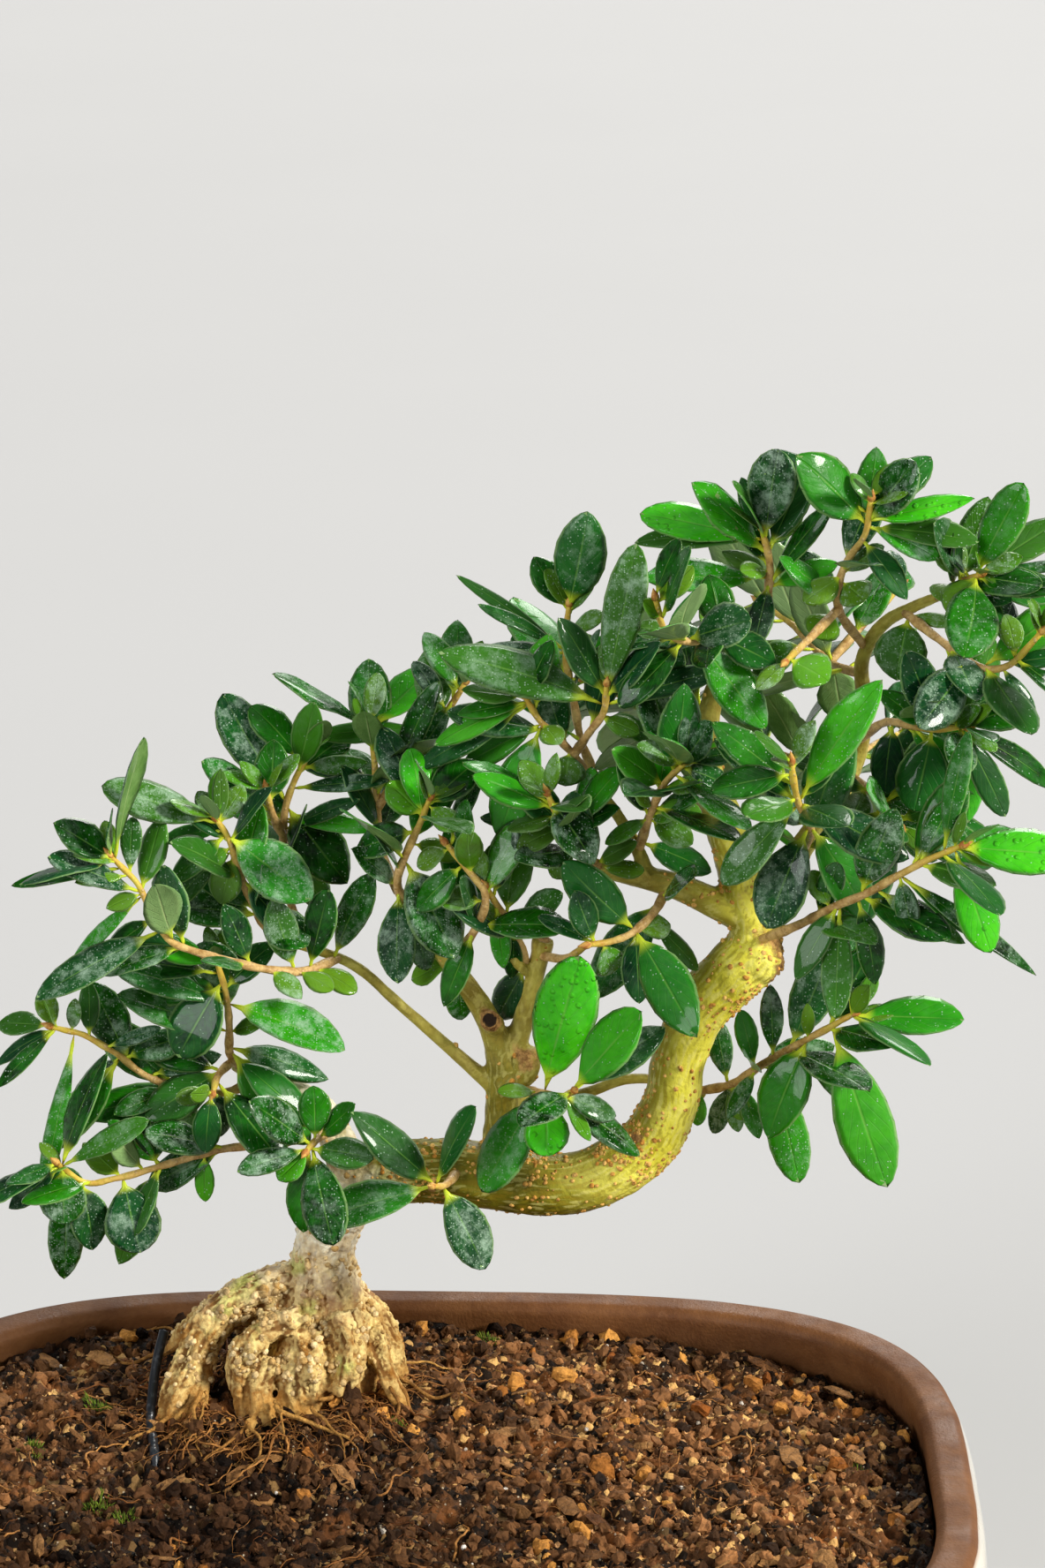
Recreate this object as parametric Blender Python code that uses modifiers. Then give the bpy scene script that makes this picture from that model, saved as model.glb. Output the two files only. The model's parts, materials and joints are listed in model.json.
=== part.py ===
"""Olive bonsai in an oval-cornered pot, at real size, in metres with +Z up.

The tree is laid out on a front drawing. A drawing point is written in millimetres, across from the
sheet's left edge and down from its top, as the eye at EYE sees it at SHEET_DISTANCE, and its depth is
how far back it stands from the middle of the pot.
"""

import math

import bmesh
import bpy
import numpy as np
from mathutils import Matrix, Vector
from mathutils.bvhtree import BVHTree

MM = 0.001
GAP = 0.3
FLAT_WITHIN = math.radians(1.5)
MERGE_WITHIN = 0.002 * MM

# The pot: a rounded rectangle in plan, wider than it is deep
RIM_HALF = (120.0, 85.0)
PLAN_POWER = 3.4
RIM_HEIGHT = 72.0
RIM_WIDTH = 8.5
BELLY_OUT = 3.0
BASE_IN = 15.0
FOOT_HEIGHT = 8.0
FLOOR_THICKNESS = 7.0
FOOT_SIZE = (28.0, 20.0)
FOOT_PLACE = (70.0, 44.0)
FOOT_SUNK = 4.0
DRAIN_RADIUS = 9.0
DRAIN_PLACE = 48.0
PLAN_SIDES = 36

# The soil and what lies in it
SOIL_EDGE_HEIGHT = 65.5
SOIL_MOUND = 5.0
SOIL_DIP = 3.5
WALL_GAP = 0.55
SOIL_BOTTOM = FOOT_HEIGHT + FLOOR_THICKNESS + 2.0
MOUND_PLACE = (-26.0, 42.0)
MOUND_REACH = 30.0
DIP_PLACE = (95.0, 60.0)
DIP_REACH = 34.0
CRUMB_HEIGHT = 0.9
NET_HALF = 14.0
NET_THICKNESS = 1.0

# The end of the tie wire that stands out of the soil, as drawing points with a depth
TIE_WIRE = [(37.2, 301.5, 41), (35.8, 307, 37), (34.8, 313, 33), (34.2, 320, 28), (34.5, 326, 24), (35.6, 332, 20)]
TIE_WIRE_RADIUS = 1.1

# The eye that the front drawing is seen from
EYE = Vector((44.3, -717.0, 446.7))
PITCH = math.radians(17.28)
TURN = math.radians(-1.62)
SHEET_DISTANCE = 840.0
SHEET_MIDDLE = (118.4, 177.6)

# Leaves
LEAF_THICKNESS = 0.95
LEAF_SEED = 7
ROOT_SUNK = 1.4
TWIG_SIDES = 4
TWIG_RADII = (1.15, 0.65)
DEPTH_SPREAD = 1.7
LEAF_LENGTH = (19.0, 28.0)
LEAF_BREADTH = (0.34, 0.46)
LEAF_DROOP = (0.10, 0.16)
BENT_BY = (0, 3, -3, 6, -6, 9, -9, 13, -13)

# The trunk and its limbs, as drawing points with a depth and a radius
WOOD = {
    "trunk": (10, [
        (72, 326, 42, 14.5), (72, 313, 42, 14.5), (72.5, 302, 42, 13.0), (73.3, 292.5, 42, 9.3),
        (73.5, 284, 42, 7.3), (75, 277, 41, 7.0), (78.5, 270.5, 40, 7.4), (84, 266.3, 40, 7.6),
        (94, 265.3, 40, 7.1), (104, 265.5, 40, 7.4), (114, 267, 40, 7.2), (124, 268.4, 40, 6.9),
        (133, 267.3, 40, 6.8), (141, 263.5, 40, 6.9), (148, 257.5, 40, 6.6), (152.2, 249, 40, 6.1),
        (153.7, 240.5, 40, 6.0), (156.5, 232.5, 40, 6.1), (160, 226.5, 40, 6.5), (165.5, 221, 40, 6.8),
        (170.3, 215.8, 41, 6.7), (170.8, 209.5, 42, 5.3), (168.5, 203, 42, 4.8), (167.3, 196, 42, 4.7),
        (165, 188.5, 41, 4.6), (161.8, 180.5, 40, 4.0), (159.8, 172, 39, 3.2), (160.5, 163, 39, 2.6),
        (162.5, 155, 40, 2.1), (167, 148, 42, 1.8), (171.5, 141.5, 43, 1.5), (174, 134, 44, 1.3)]),
    "elbow_knob": (8, [(166, 221, 40, 4.0), (171.5, 217.5, 39, 5.6), (174.2, 214.5, 38, 4.2)]),
    "first_bend_limb": (6, [
        (80, 267, 40, 4.6), (76.5, 258.5, 40, 4.0), (72.5, 250.5, 41, 2.9), (66.5, 246.5, 42, 2.0),
        (59, 244.5, 43, 1.6), (53, 241, 44, 1.4)]),
    "arch_limb": (8, [
        (113, 265, 40, 4.0), (113.5, 256, 40, 3.9), (114, 248, 40, 3.8), (114, 240.5, 40, 3.7),
        (111.5, 233, 39, 2.8), (107, 225, 38, 2.4), (101, 217, 37, 2.0), (96.5, 211, 36, 1.8),
        (91.5, 204.5, 36, 1.5)]),
    "arch_fork": (6, [
        (114.5, 241, 40, 3.0), (117.5, 234.5, 40, 2.6), (120, 226, 40, 2.2), (122.8, 214.5, 40, 2.1)]),
    "arch_low_limb": (6, [
        (112, 246, 40, 2.2), (106, 241, 40, 1.6), (98, 234, 39, 1.35), (90, 227, 38, 1.25),
        (81.5, 219.5, 37, 1.2), (74, 216, 36, 1.15), (66, 213.5, 36, 1.1)]),
    "arch_back_limb": (6, [
        (115, 249, 42, 2.4), (123, 250, 47, 1.6), (133, 247.5, 52, 1.3), (142, 244.5, 54, 1.2),
        (151, 245, 55, 1.15), (160, 248, 54, 1.1)]),
    "elbow_limb": (8, [
        (170, 208, 42, 4.0), (162, 204.5, 41, 3.5), (154, 201, 40, 2.9), (146, 198.8, 38, 2.5),
        (138.5, 197.5, 37, 1.8), (134.5, 195.5, 36, 1.3)]),
    "elbow_twig": (6, [
        (147, 199, 38, 1.9), (144, 191.5, 39, 1.5), (140.5, 185.5, 40, 1.35), (136.5, 180, 41, 1.2),
        (132, 174.5, 43, 1.1)]),
    "right_leader": (6, [
        (170.5, 210, 44, 3.4), (175.5, 202, 48, 2.9), (181, 193, 53, 2.7), (188, 183, 58, 2.5),
        (192.5, 175, 60, 2.4), (195.3, 166, 60, 2.1), (195.5, 157, 58, 1.8), (195.5, 149, 56, 1.6),
        (200, 141.5, 54, 1.5), (207, 137.5, 52, 1.3), (214, 134.5, 50, 1.1)]),
}

# The root flare: each root runs to where it goes under the soil
ROOTS = {
    "root_ridge": (8, [(73, 290, 42, 6.0), (63, 291, 41, 4.6), (54, 294.5, 39, 4.4), (47.5, 300, 36, 4.2),
                       (42, 309, 31, 3.5), (37.5, 317, 26, 3.0), (35.5, 326, 21, 2.2)]),
    "root_ridge_fork": (6, [(50, 299, 37, 3.6), (45, 308, 33, 2.5), (41.5, 317, 28, 2.2), (40.5, 326, 23, 1.6)]),
    "root_thin": (6, [(48, 303, 35, 2.2), (46, 312, 31, 1.5), (45, 320, 26, 1.3), (45, 328, 22, 1.1)]),
    "root_back_left": (6, [(60, 295, 46, 4.6), (50, 299, 50, 3.8), (43, 303, 54, 3.0), (38, 309, 58, 2.0)]),
    "root_brow": (6, [(68, 299, 33, 3.4), (61, 301, 31, 2.9), (57, 304.5, 29, 2.7), (54.5, 309, 28, 2.6),
                      (55, 316, 27, 2.0), (57, 326, 22, 1.4)]),
    "root_bulge": (8, [(70, 303, 36, 7.0), (69, 309, 32, 7.2), (69.5, 315, 29, 5.2), (70, 322, 27, 3.0)]),
    "root_middle": (6, [(62, 308, 30, 3.6), (59, 316, 26, 2.5), (61.5, 322, 22, 2.0), (63.5, 328, 19, 1.6)]),
    "root_loop": (6, [(59.5, 318, 24, 1.6), (57.5, 323, 21, 1.8), (56, 328, 18, 1.7), (56, 333, 15, 1.4)]),
    "root_front": (6, [(66, 314, 28, 3.4), (68.5, 320, 25, 2.8), (71.5, 325, 22, 2.0), (72.5, 331, 19, 1.4)]),
    "root_stub": (6, [(77, 298, 34, 5.0), (79.3, 305, 31, 3.8), (79, 311, 29, 3.4), (77, 316, 27.5, 3.0)]),
    "root_right": (6, [(79, 296, 42, 5.4), (84.5, 300, 42, 4.6), (87.5, 306, 41, 4.0), (90, 313, 40, 2.8)]),
    "root_right_thin": (6, [(84, 301, 38, 3.0), (86.5, 308, 35, 2.2), (89, 314, 32, 1.6), (92, 320, 29, 1.1)]),
    "root_back": (6, [(75, 297, 48, 6.0), (78, 299, 58, 4.6), (80, 303, 68, 2.8)]),
}

# Leafy sprays. Each twig is drawing points with a depth; its first point lies inside what carries it.
# Each drawn leaf is its root, its tip, its breadth, and how much nearer than its root the tip comes.
SPRAYS = {
    "spray_low_left": {
        "twigs": [[(73, 253, 41), (66, 258.5, 37), (58, 259.5, 35), (50, 260.3, 34), (42, 262.5, 33),
                   (34, 264.8, 32), (26, 267, 31), (19, 268, 30), (13, 263.5, 28)]],
        "leaves": [(27, 266.5, 19, 258.5, 6.5, -3), (35.5, 264, 33.5, 250, 9, -4), (28, 267.3, 32, 284, 12, 4),
                   (36, 265.5, 26, 287, 8.5, -2), (46.5, 262, 46.5, 272.5, 4.2, 1), (13, 263, 1.5, 273.5, 5.5, 2),
                   (14, 263.5, 14.5, 277.5, 9.8, 5), (19, 267.5, 21.5, 283.5, 8.5, 0),
                   (15, 265.5, 14.5, 291, 7.5, -2), (14, 264, 33, 253.5, 6, 5)]},
    "spray_left_mid": {
        "twigs": [[(59, 244.5, 43), (51, 247.5, 41), (45, 247, 40), (39, 246, 39), (32, 243, 38), (26, 238.5, 37),
                   (19, 234.5, 36), (11.5, 232.5, 35)]],
        "leaves": [(46, 245.3, 17, 252, 8.5, 8), (27, 240, 10, 261, 8.5, 3), (16, 236, 8.5, 271, 4.5, 2),
                   (12, 233, -2, 241, 4.5, -2), (12, 234, -1, 246, 4, 3), (12, 232.5, 9, 224.5, 5, 0),
                   (16, 234, 17, 226.5, 3.2, 3), (20, 234.5, 20, 222, 4.5, -3), (24, 237, 36, 232.5, 3.8, 3),
                   (28, 240, 42, 234, 7.5, -4), (34, 244, 50, 238.5, 6.5, -2), (41, 246, 41, 258.5, 8.5, -4),
                   (27, 240, 20, 246, 5, -5)]},
    "spray_left_upright": {
        "twigs": [[(54.3, 241.5, 43.8), (52, 238.5, 39), (52, 233, 36), (51.3, 226, 35), (49, 217, 34)],
                  [(53, 240, 40), (49.5, 243.5, 37), (48, 247.5, 35)]],
        "leaves": [(50.5, 222, 40, 239.5, 11.5, 5), (51.5, 226, 78.5, 237, 10.5, 3), (52, 236, 75, 244, 7, -4),
                   (52, 237, 71, 259, 12, 2), (49, 244.5, 66, 265, 9.5, 4), (48.5, 246, 50, 258, 6.5, -2),
                   (50, 221, 22, 216, 8.5, -3), (49, 218.5, 34, 212, 7, 3), (51, 225, 26, 221, 11.5, 2),
                   (49, 243, 33, 237, 7, -4), (49, 217.5, 53, 209, 5, -3), (51, 224, 62, 213, 7, -3)]},
    "spray_left_top": {
        "twigs": [[(67.5, 214, 36), (61, 211, 33), (57.5, 205, 32), (54.5, 198, 31), (52, 190.5, 31),
                   (49, 185.5, 31)]],
        "leaves": [(49, 186.5, 23.5, 177, 10, 3), (52, 189, 71, 203.5, 12.5, 5), (52, 191, 44.5, 196.5, 5, 3),
                   (53, 193.5, 50, 205, 7, 2), (52, 192, 36.5, 207, 5.5, -2), (58, 208, 34, 204, 12, 5),
                   (49, 186, 50, 174, 3.5, -3), (51, 188, 36, 190, 5, -4), (59, 207.5, 70, 214, 10, 4),
                   (56, 202, 70, 199, 8, 4), (49, 186, 56, 176, 6, -2)]},
    "spray_left_far": {
        "twigs": [[(77, 217, 36.4), (69, 220, 32), (60, 219.5, 29), (51, 217.5, 27), (44, 215.5, 26.5),
                   (38, 212.5, 26), (33.5, 205, 26), (30.5, 199.5, 26), (25, 194, 26)]],
        "leaves": [(25, 194.5, 12.5, 186, 8.5, 2), (27.5, 197, 2, 200, 4, -2), (29.5, 198.5, 30, 185, 4.5, -3),
                   (32, 202.5, 24, 205.5, 4.5, 3), (32, 203, 14, 219, 4.2, -3), (36, 211, 7.5, 225.5, 8.5, 4),
                   (35, 208, 23, 216, 6, -3), (44, 215, 30, 213, 7, -4), (29.5, 198, 17, 199.5, 3.5, 5)]},
    "spray_left_tall": {
        "twigs": [[(70, 215, 36), (66, 205, 39), (64.5, 195, 41), (64.5, 184, 42), (67, 176, 43), (71.5, 168.5, 44)],
                  [(64.6, 190, 41.5), (61.5, 184, 39), (60.5, 179, 38)]],
        "leaves": [(64.5, 182, 50.5, 157, 10, -3), (61, 182, 62, 165, 9, 4), (69, 173, 57, 159.5, 8, -4),
                   (64.5, 184, 79, 200, 12, 4), (66, 178.5, 88, 176, 4.5, 2), (68.5, 174, 86, 172, 6, -3),
                   (64.5, 186, 78, 190, 8, -3), (64.6, 192, 75, 206, 8, -4), (66, 205, 56, 200, 7, -3)]},
    "spray_mid_left": {
        "twigs": [[(92.5, 206, 36), (90, 200, 34), (92, 193.5, 33), (95, 187, 33), (97.5, 181, 33)]],
        "leaves": [(92, 194, 104, 217, 12.5, 5), (95, 187, 80, 192, 9, -4), (97, 183, 108, 172, 9, -5),
                   (90.5, 201, 90, 223, 8, 4), (90, 200, 80, 214, 8.5, -2), (96, 185, 88, 177, 8, -2),
                   (93, 191, 104, 194, 6, -4), (97.3, 182, 104, 188, 6, 3)]},
    "spray_mid_low": {
        "twigs": [[(102, 218.5, 37), (108, 210, 33), (110, 203, 31), (106, 197, 31), (101, 191, 32)],
                  [(119.5, 220, 39), (117, 211.5, 36), (113, 205.5, 34), (110, 201, 31.5)]],
        "leaves": [(116, 210.5, 127, 202, 7, 2), (105, 196, 94, 206, 7, -4), (110, 203.5, 96, 203, 8, 4),
                   (108, 210, 112, 224, 8.5, 3), (115, 209, 106, 205, 7, 3), (111, 203, 114, 190, 6, -3),
                   (107, 198, 106, 188, 6, 3), (102, 192, 93, 197, 6, -3), (107, 211, 100, 228, 6, 3),
                   (117, 211, 116, 222, 4, -3)]},
    "spray_mid_back": {
        "twigs": [[(90, 202, 37), (87, 194, 42), (85.5, 184, 45), (85, 174, 46), (84, 164, 46)],
                  [(85.5, 183, 45), (93, 172, 47), (100, 163, 48), (105.5, 154.5, 48)]],
        "leaves": [(88, 177, 98.5, 154.5, 6, 3), (85.5, 177, 67, 171, 6.5, -3), (85, 176, 95, 180, 6, -2),
                   (84.5, 168, 82, 160, 2.6, 2), (84.5, 168, 90, 168, 4.5, 4), (98, 165, 71, 166, 5.5, 5),
                   (101, 161, 94, 149.5, 5, -3), (104, 156.5, 96.5, 143, 6, -3), (103, 158, 92, 175, 6.5, 4),
                   (95, 169, 86, 187, 8, -4), (105, 155, 109, 145, 5, -2)]},
    "spray_mid_top": {
        "twigs": [[(133, 176, 42.6), (130, 171, 40.5), (126, 167, 39), (122, 163, 38), (119, 158, 37)],
                  [(130, 171, 40.5), (133.5, 166, 38.5), (137, 161, 37), (137.5, 155, 36)]],
        "leaves": [(137, 160.5, 100, 147, 11, 4), (137.2, 159, 144, 124, 8.5, 5), (137, 160, 164, 151, 6.5, 4),
                   (136, 163, 145, 166, 5, 2), (120.5, 164, 111, 194.5, 11.5, 6), (119, 160, 98, 168, 6, 3),
                   (121, 164.5, 127, 168.5, 5.5, 5), (120, 160, 93, 174, 6.5, -2), (119, 159, 125, 148, 6, -4),
                   (127, 171, 128, 178, 8, 4), (136, 162, 152, 168, 7, -4), (122, 165, 104, 173, 7, -4)]},
    "spray_mid_crown": {
        "twigs": [[(138.5, 182.7, 40.5), (135, 176, 46), (131.5, 167, 49), (129.5, 156, 50), (128, 146, 50),
                   (129, 137, 50)]],
        "leaves": [(129, 138, 133, 116.5, 11, 4), (129, 138, 121, 126, 7, -3), (128.5, 140, 134, 126, 5, -4),
                   (128, 146, 104, 129.5, 3.5, -2), (128, 146, 109, 136.5, 3.5, 3), (128.5, 148, 109, 146, 5, 4),
                   (129, 151, 140, 144, 6, -2), (128, 143, 137, 139, 5, 4), (129.5, 156, 118, 148, 6, -3)]},
    "spray_elbow_left": {
        "twigs": [[(136.5, 197, 36.5), (131, 192, 33), (127, 186, 31), (124, 180, 30)]],
        "leaves": [(125, 181, 135, 195.5, 9.5, 5), (128, 188, 117, 192, 6, 2), (129, 190, 125, 199, 6, -2),
                   (125, 182, 118, 172, 6, -3)]},
    "spray_elbow_up": {
        "twigs": [[(144.6, 193, 38.8), (147.5, 184, 36), (151, 177, 34), (155.5, 172.5, 33)]],
        "leaves": [(150, 178.5, 139, 169.5, 8, 3), (155, 173, 161, 163.5, 8, 4), (148, 183, 144, 179, 4.5, 4),
                   (147, 185, 137, 191, 4, 3), (147.5, 185, 154, 184, 5, 4), (154, 174, 166, 178, 6, -3)]},
    "spray_elbow_low": {
        "twigs": [[(151, 201.5, 39.5), (148, 207, 34), (143, 211.5, 31), (138, 213.5, 30), (133.5, 214, 29)],
                  [(122.5, 216.5, 39.5), (128, 217, 34), (133.5, 214, 30)]],
        "leaves": [(144, 211, 145, 227.5, 7, 4), (143, 211.5, 152, 209, 7, -3), (133.5, 214, 130.5, 202, 6.5, 3),
                   (138, 213.5, 139, 221, 7, -3), (148, 207, 137, 208, 5, 4), (147, 208, 156, 217, 5, 3),
                   (134, 214, 122, 207, 4, -3)]},
    "spray_arch_front": {
        "twigs": [[(118, 247, 39), (122.5, 247.5, 32), (127, 248.5, 28), (130, 247, 25)]],
        "leaves": [(124, 247.6, 131, 217.5, 13.5, 7), (129, 247.5, 144.5, 229, 11.5, 5),
                   (123, 248, 124, 262, 9.5, 6), (121, 247, 113, 247, 4, 5), (121, 247.5, 108.5, 270, 10.5, 3),
                   (128.5, 248, 134, 258.5, 3.2, 2)], "count": 9},
    "spray_arch_drop": {
        "twigs": [[(104, 265, 36), (101, 268.3, 30), (98, 268.7, 27.5)]],
        "leaves": [(99.5, 268.5, 80.5, 251.5, 9.5, 4), (100.5, 268.3, 110.5, 287.5, 10, 3)], "count": 4},
    "spray_bend_front": {
        "twigs": [[(75, 256, 38), (72, 258, 31), (69.5, 261, 28)]],
        "leaves": [(69.5, 260.5, 68, 283, 9, 3), (70.5, 260, 84.5, 262, 8, 4), (70, 260, 61.5, 268.5, 7.5, 3),
                   (71.5, 258.5, 71, 246, 7, -2), (70, 260, 54, 265, 6, -3), (72, 258.5, 80, 250, 6, 4)]},
    "spray_right_low": {
        "twigs": [[(157.5, 247.3, 54.3), (166, 245.5, 50), (173, 241, 47), (182, 236, 44), (189.5, 232, 41),
                   (194, 229.5, 40)]],
        "leaves": [(193.5, 229.8, 218.5, 230, 10, 2), (189, 232.3, 201.5, 269.5, 12.5, 4),
                   (182, 236, 173.5, 258, 11, 4), (182, 236.3, 192, 250, 3.5, 2), (174, 241, 181.5, 268.5, 9, -2),
                   (173, 241, 175.5, 223.5, 5.5, 3), (183.5, 235.3, 183, 227.5, 3, 3), (166.5, 245.3, 168, 254, 5, 2),
                   (188, 232.8, 190.5, 222, 4.5, -2), (165, 245.5, 162, 230, 5.5, -3), (167, 245, 161, 257, 5, -3)]},
    "spray_elbow_right": {
        "twigs": [[(172, 213, 38), (181, 209.5, 30), (189, 205.5, 25), (197, 202, 22), (205, 197.5, 20),
                   (212, 194, 19), (218, 191.5, 18)]],
        "leaves": [(217.5, 191.5, 243, 193, 11, 3), (216, 192.2, 225, 216, 8.5, 4), (214, 193, 219, 166, 5, 5),
                   (203.5, 198.5, 236, 220, 4.5, 2), (205, 197.7, 207, 211.5, 5, 3), (206, 197, 218, 176, 8.5, -3),
                   (189, 205.5, 180, 222, 6, 4), (191, 204.5, 189.5, 231, 6.5, 5), (193, 203.7, 199, 223.5, 6, -2),
                   (204.5, 198, 222, 212, 4, -3), (188, 206, 184, 197, 5, -3)]},
    "spray_centre_rosette": {
        "twigs": [[(176.5, 200.5, 48.5), (182.5, 192, 38), (183.5, 186.5, 31), (180.5, 181, 27), (179.5, 173, 25)]],
        "leaves": [(182, 183.5, 160, 203.5, 9.5, 2), (183.5, 187, 173.5, 210.5, 11, 5),
                   (183.6, 188, 199.5, 211.5, 12.5, 4), (181.5, 182.3, 206.5, 194, 10, 3),
                   (180, 176, 161, 178.5, 8, 3), (180.2, 177.5, 161.5, 163, 8, -3), (180.8, 181, 199, 154, 9.5, 4),
                   (181, 181.5, 190, 168, 6, -3)]},
    "spray_right_mid": {
        "twigs": [[(195, 167.5, 58.5), (201, 163.5, 50), (209, 165, 45), (219, 164.8, 42)]],
        "leaves": [(212, 165, 207, 184, 11, 5), (219, 165, 228.5, 185, 6.5, 3), (219, 164.7, 233, 159.5, 8, -2),
                   (204, 164, 200.5, 180, 7, 5), (217, 165, 220, 187, 6.5, -3), (210, 165, 199, 156, 6, -3),
                   (213, 165, 206, 148, 8.5, 5), (215, 165, 222, 160, 5, 4),
                   (219.5, 164.5, 240, 178, 6, -3)]},
    "spray_right_hang": {
        "twigs": [[(192.3, 175.5, 60), (198, 180, 50), (204, 187, 44)]],
        "leaves": [(201, 183, 213, 195, 8, -2), (203, 186, 190, 197, 6, -3)], "count": 12},
    "spray_crown_left": {
        "twigs": [[(168.5, 146, 42.6), (163, 143, 38), (157, 145.5, 35), (151, 143, 34), (148.5, 135.5, 33)]],
        "leaves": [(150, 139.5, 146, 136, 4.5, 3), (157, 145.5, 170, 140, 11, 3), (152, 143.5, 142, 141, 6, -3),
                   (160, 143.5, 176, 150, 9, 4), (149, 137, 157, 128, 6, -3), (155, 145, 140, 160, 7, 4),
                   (163, 143, 161, 130, 8, -3), (151, 143, 153, 156, 6, -2), (158, 145, 174, 165, 10, 2)]},
    "spray_crown_top": {
        "twigs": [[(174, 134.5, 44), (174.5, 128, 44), (172.8, 120, 44)]],
        "leaves": [(173.5, 122.5, 145, 115.5, 9.5, -2), (173.4, 122, 143.5, 121.5, 6.5, 4),
                   (173.5, 122.5, 176, 102, 10, 3), (174, 124, 182, 115, 4.5, -3), (174.5, 131, 146, 130, 8.5, 4),
                   (175, 133, 187.5, 114.5, 5, 4), (174.5, 129, 168, 129, 5, 5), (175, 133.5, 190, 127, 6, -3),
                   (174.5, 131.5, 162, 123, 7, -4), (173, 121, 168, 108, 5, -4), (174.8, 132, 170, 149, 6.5, 5)]},
    "spray_crown_mid": {
        "twigs": [[(196, 146.5, 55.5), (190, 138, 50), (191, 129, 47), (196, 121, 45), (197.5, 113, 44)],
                  [(190, 138, 50), (183, 145, 43), (178, 150, 38)]],
        "leaves": [(196.5, 119, 181, 103, 12, 4), (197.5, 117, 175, 101, 5.5, -3), (197.5, 118.5, 207, 104.5, 9.5, 4),
                   (197.8, 116, 211, 103, 8, -2), (197.5, 118, 220.5, 112, 6, 3), (195.5, 122, 206, 135.5, 6, 4),
                   (191, 130, 200, 123.5, 5, 3), (191, 131, 182, 136, 7, 4), (189, 139, 184, 144, 8, 5),
                   (190.5, 133, 196, 136, 8, 4), (180, 148, 188, 154, 10, 4), (190, 136, 180, 124, 7, -4),
                   (196.5, 120, 222, 122, 7, 2), (181, 147.5, 170, 152, 8, -3)]},
    "spray_crown_right": {
        "twigs": [[(212.5, 135.2, 50.3), (218, 131.8, 46), (222, 130, 43.5)]],
        "leaves": [(220.5, 130.8, 231.5, 109.5, 9, 3), (221, 130.8, 215, 139, 9, 5), (220.5, 131, 240, 138, 6, -3),
                   (221.5, 130.4, 244, 127, 3, 2), (219, 131.5, 213, 121, 7, -3), (221, 130.5, 229, 136, 5, -4)],
        "count": 12},
    "spray_crown_far": {
        "twigs": [[(205, 138.7, 52.2), (213, 145, 46), (222, 151, 42), (229, 150.5, 40), (236, 143, 38)]],
        "leaves": [(207.5, 140, 203, 154, 11, 6), (214, 144.3, 222, 164, 8, 4), (216, 146, 217.5, 163, 7, -2),
                   (229, 150.5, 242, 148, 5, 3), (226, 151, 235, 162, 3.5, 3), (235.5, 143.5, 241, 136, 5, 3),
                   (231, 149, 228, 139, 5, -3), (207, 138.5, 217, 141, 4, 5)]},
    "spray_back_low": {
        "twigs": [[(191, 178, 60), (188, 176, 69), (181, 172, 76), (173, 170, 81)],
                  [(188, 176.2, 69), (196, 170, 76), (204, 166, 81)]],
        "leaves": [], "count": 17},
    "spray_back_top": {
        "twigs": [[(196, 153, 57), (188, 150, 66), (180, 142, 73), (172, 136, 78)],
                  [(188, 150, 66), (196, 141, 73), (204, 133, 77)]],
        "leaves": [], "count": 17},
    "spray_back_left": {
        "twigs": [[(161, 161, 39.3), (152, 162, 49), (142, 158, 57), (132, 154, 63)],
                  [(152, 162, 49), (156, 152, 57), (160, 143, 63)]],
        "leaves": [], "count": 17},
}
# How many leaves a spray has in all, counting those that are drawn, where it gives no count
SPRAY_LEAVES = 13

COLOURS = {
    "pot": (0.78, 0.74, 0.64, 1.0), "soil": (0.07, 0.04, 0.025, 1.0), "wood": (0.48, 0.4, 0.2, 1.0),
    "leaf": (0.035, 0.13, 0.035, 1.0), "net": (0.05, 0.05, 0.05, 1.0), "wire": (0.02, 0.025, 0.03, 1.0),
}


def clear_scene():
    for thing in list(bpy.data.objects):
        bpy.data.objects.remove(thing, do_unlink=True)


def make_collection(name):
    collection = bpy.data.collections.new(name)
    bpy.context.scene.collection.children.link(collection)
    return collection


def make_material(name, colour, roughness):
    material = bpy.data.materials.new(name)
    material.use_nodes = True
    shader = material.node_tree.nodes["Principled BSDF"]
    shader.inputs["Base Color"].default_value = colour
    shader.inputs["Roughness"].default_value = roughness
    return material


def sight(across, down):
    """The line of sight from the eye through a point of the front drawing."""
    forward = Vector((math.sin(TURN) * math.cos(PITCH), math.cos(TURN) * math.cos(PITCH), -math.sin(PITCH)))
    right = Vector((math.cos(TURN), -math.sin(TURN), 0.0))
    up = right.cross(forward)
    step_across = (across - SHEET_MIDDLE[0]) / SHEET_DISTANCE
    step_down = (down - SHEET_MIDDLE[1]) / SHEET_DISTANCE
    return forward + step_across * right - step_down * up


def drawn(across, down, depth):
    """The point in space, in millimetres, that the drawing shows at this depth."""
    line = sight(across, down)
    return EYE + line * ((depth - EYE.y) / line.y)


def smooth_route(points, steps):
    """A curve through the points (Catmull-Rom), with this many steps between neighbours."""
    rows = np.array(points, dtype=float)
    padded = np.vstack([2 * rows[0] - rows[1], rows, 2 * rows[-1] - rows[-2]])
    route = []
    for index in range(1, len(padded) - 2):
        a, b, c, d = padded[index - 1:index + 3]
        for step in range(steps):
            t = step / steps
            route.append(0.5 * (2 * b + (c - a) * t + (2 * a - 5 * b + 4 * c - d) * t ** 2
                                + (3 * b - a - 3 * c + d) * t ** 3))
    route.append(rows[-1])
    return np.array(route)


def add_object(name, mesh, collection):
    thing = bpy.data.objects.new(name, mesh)
    collection.objects.link(thing)
    return thing


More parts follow.
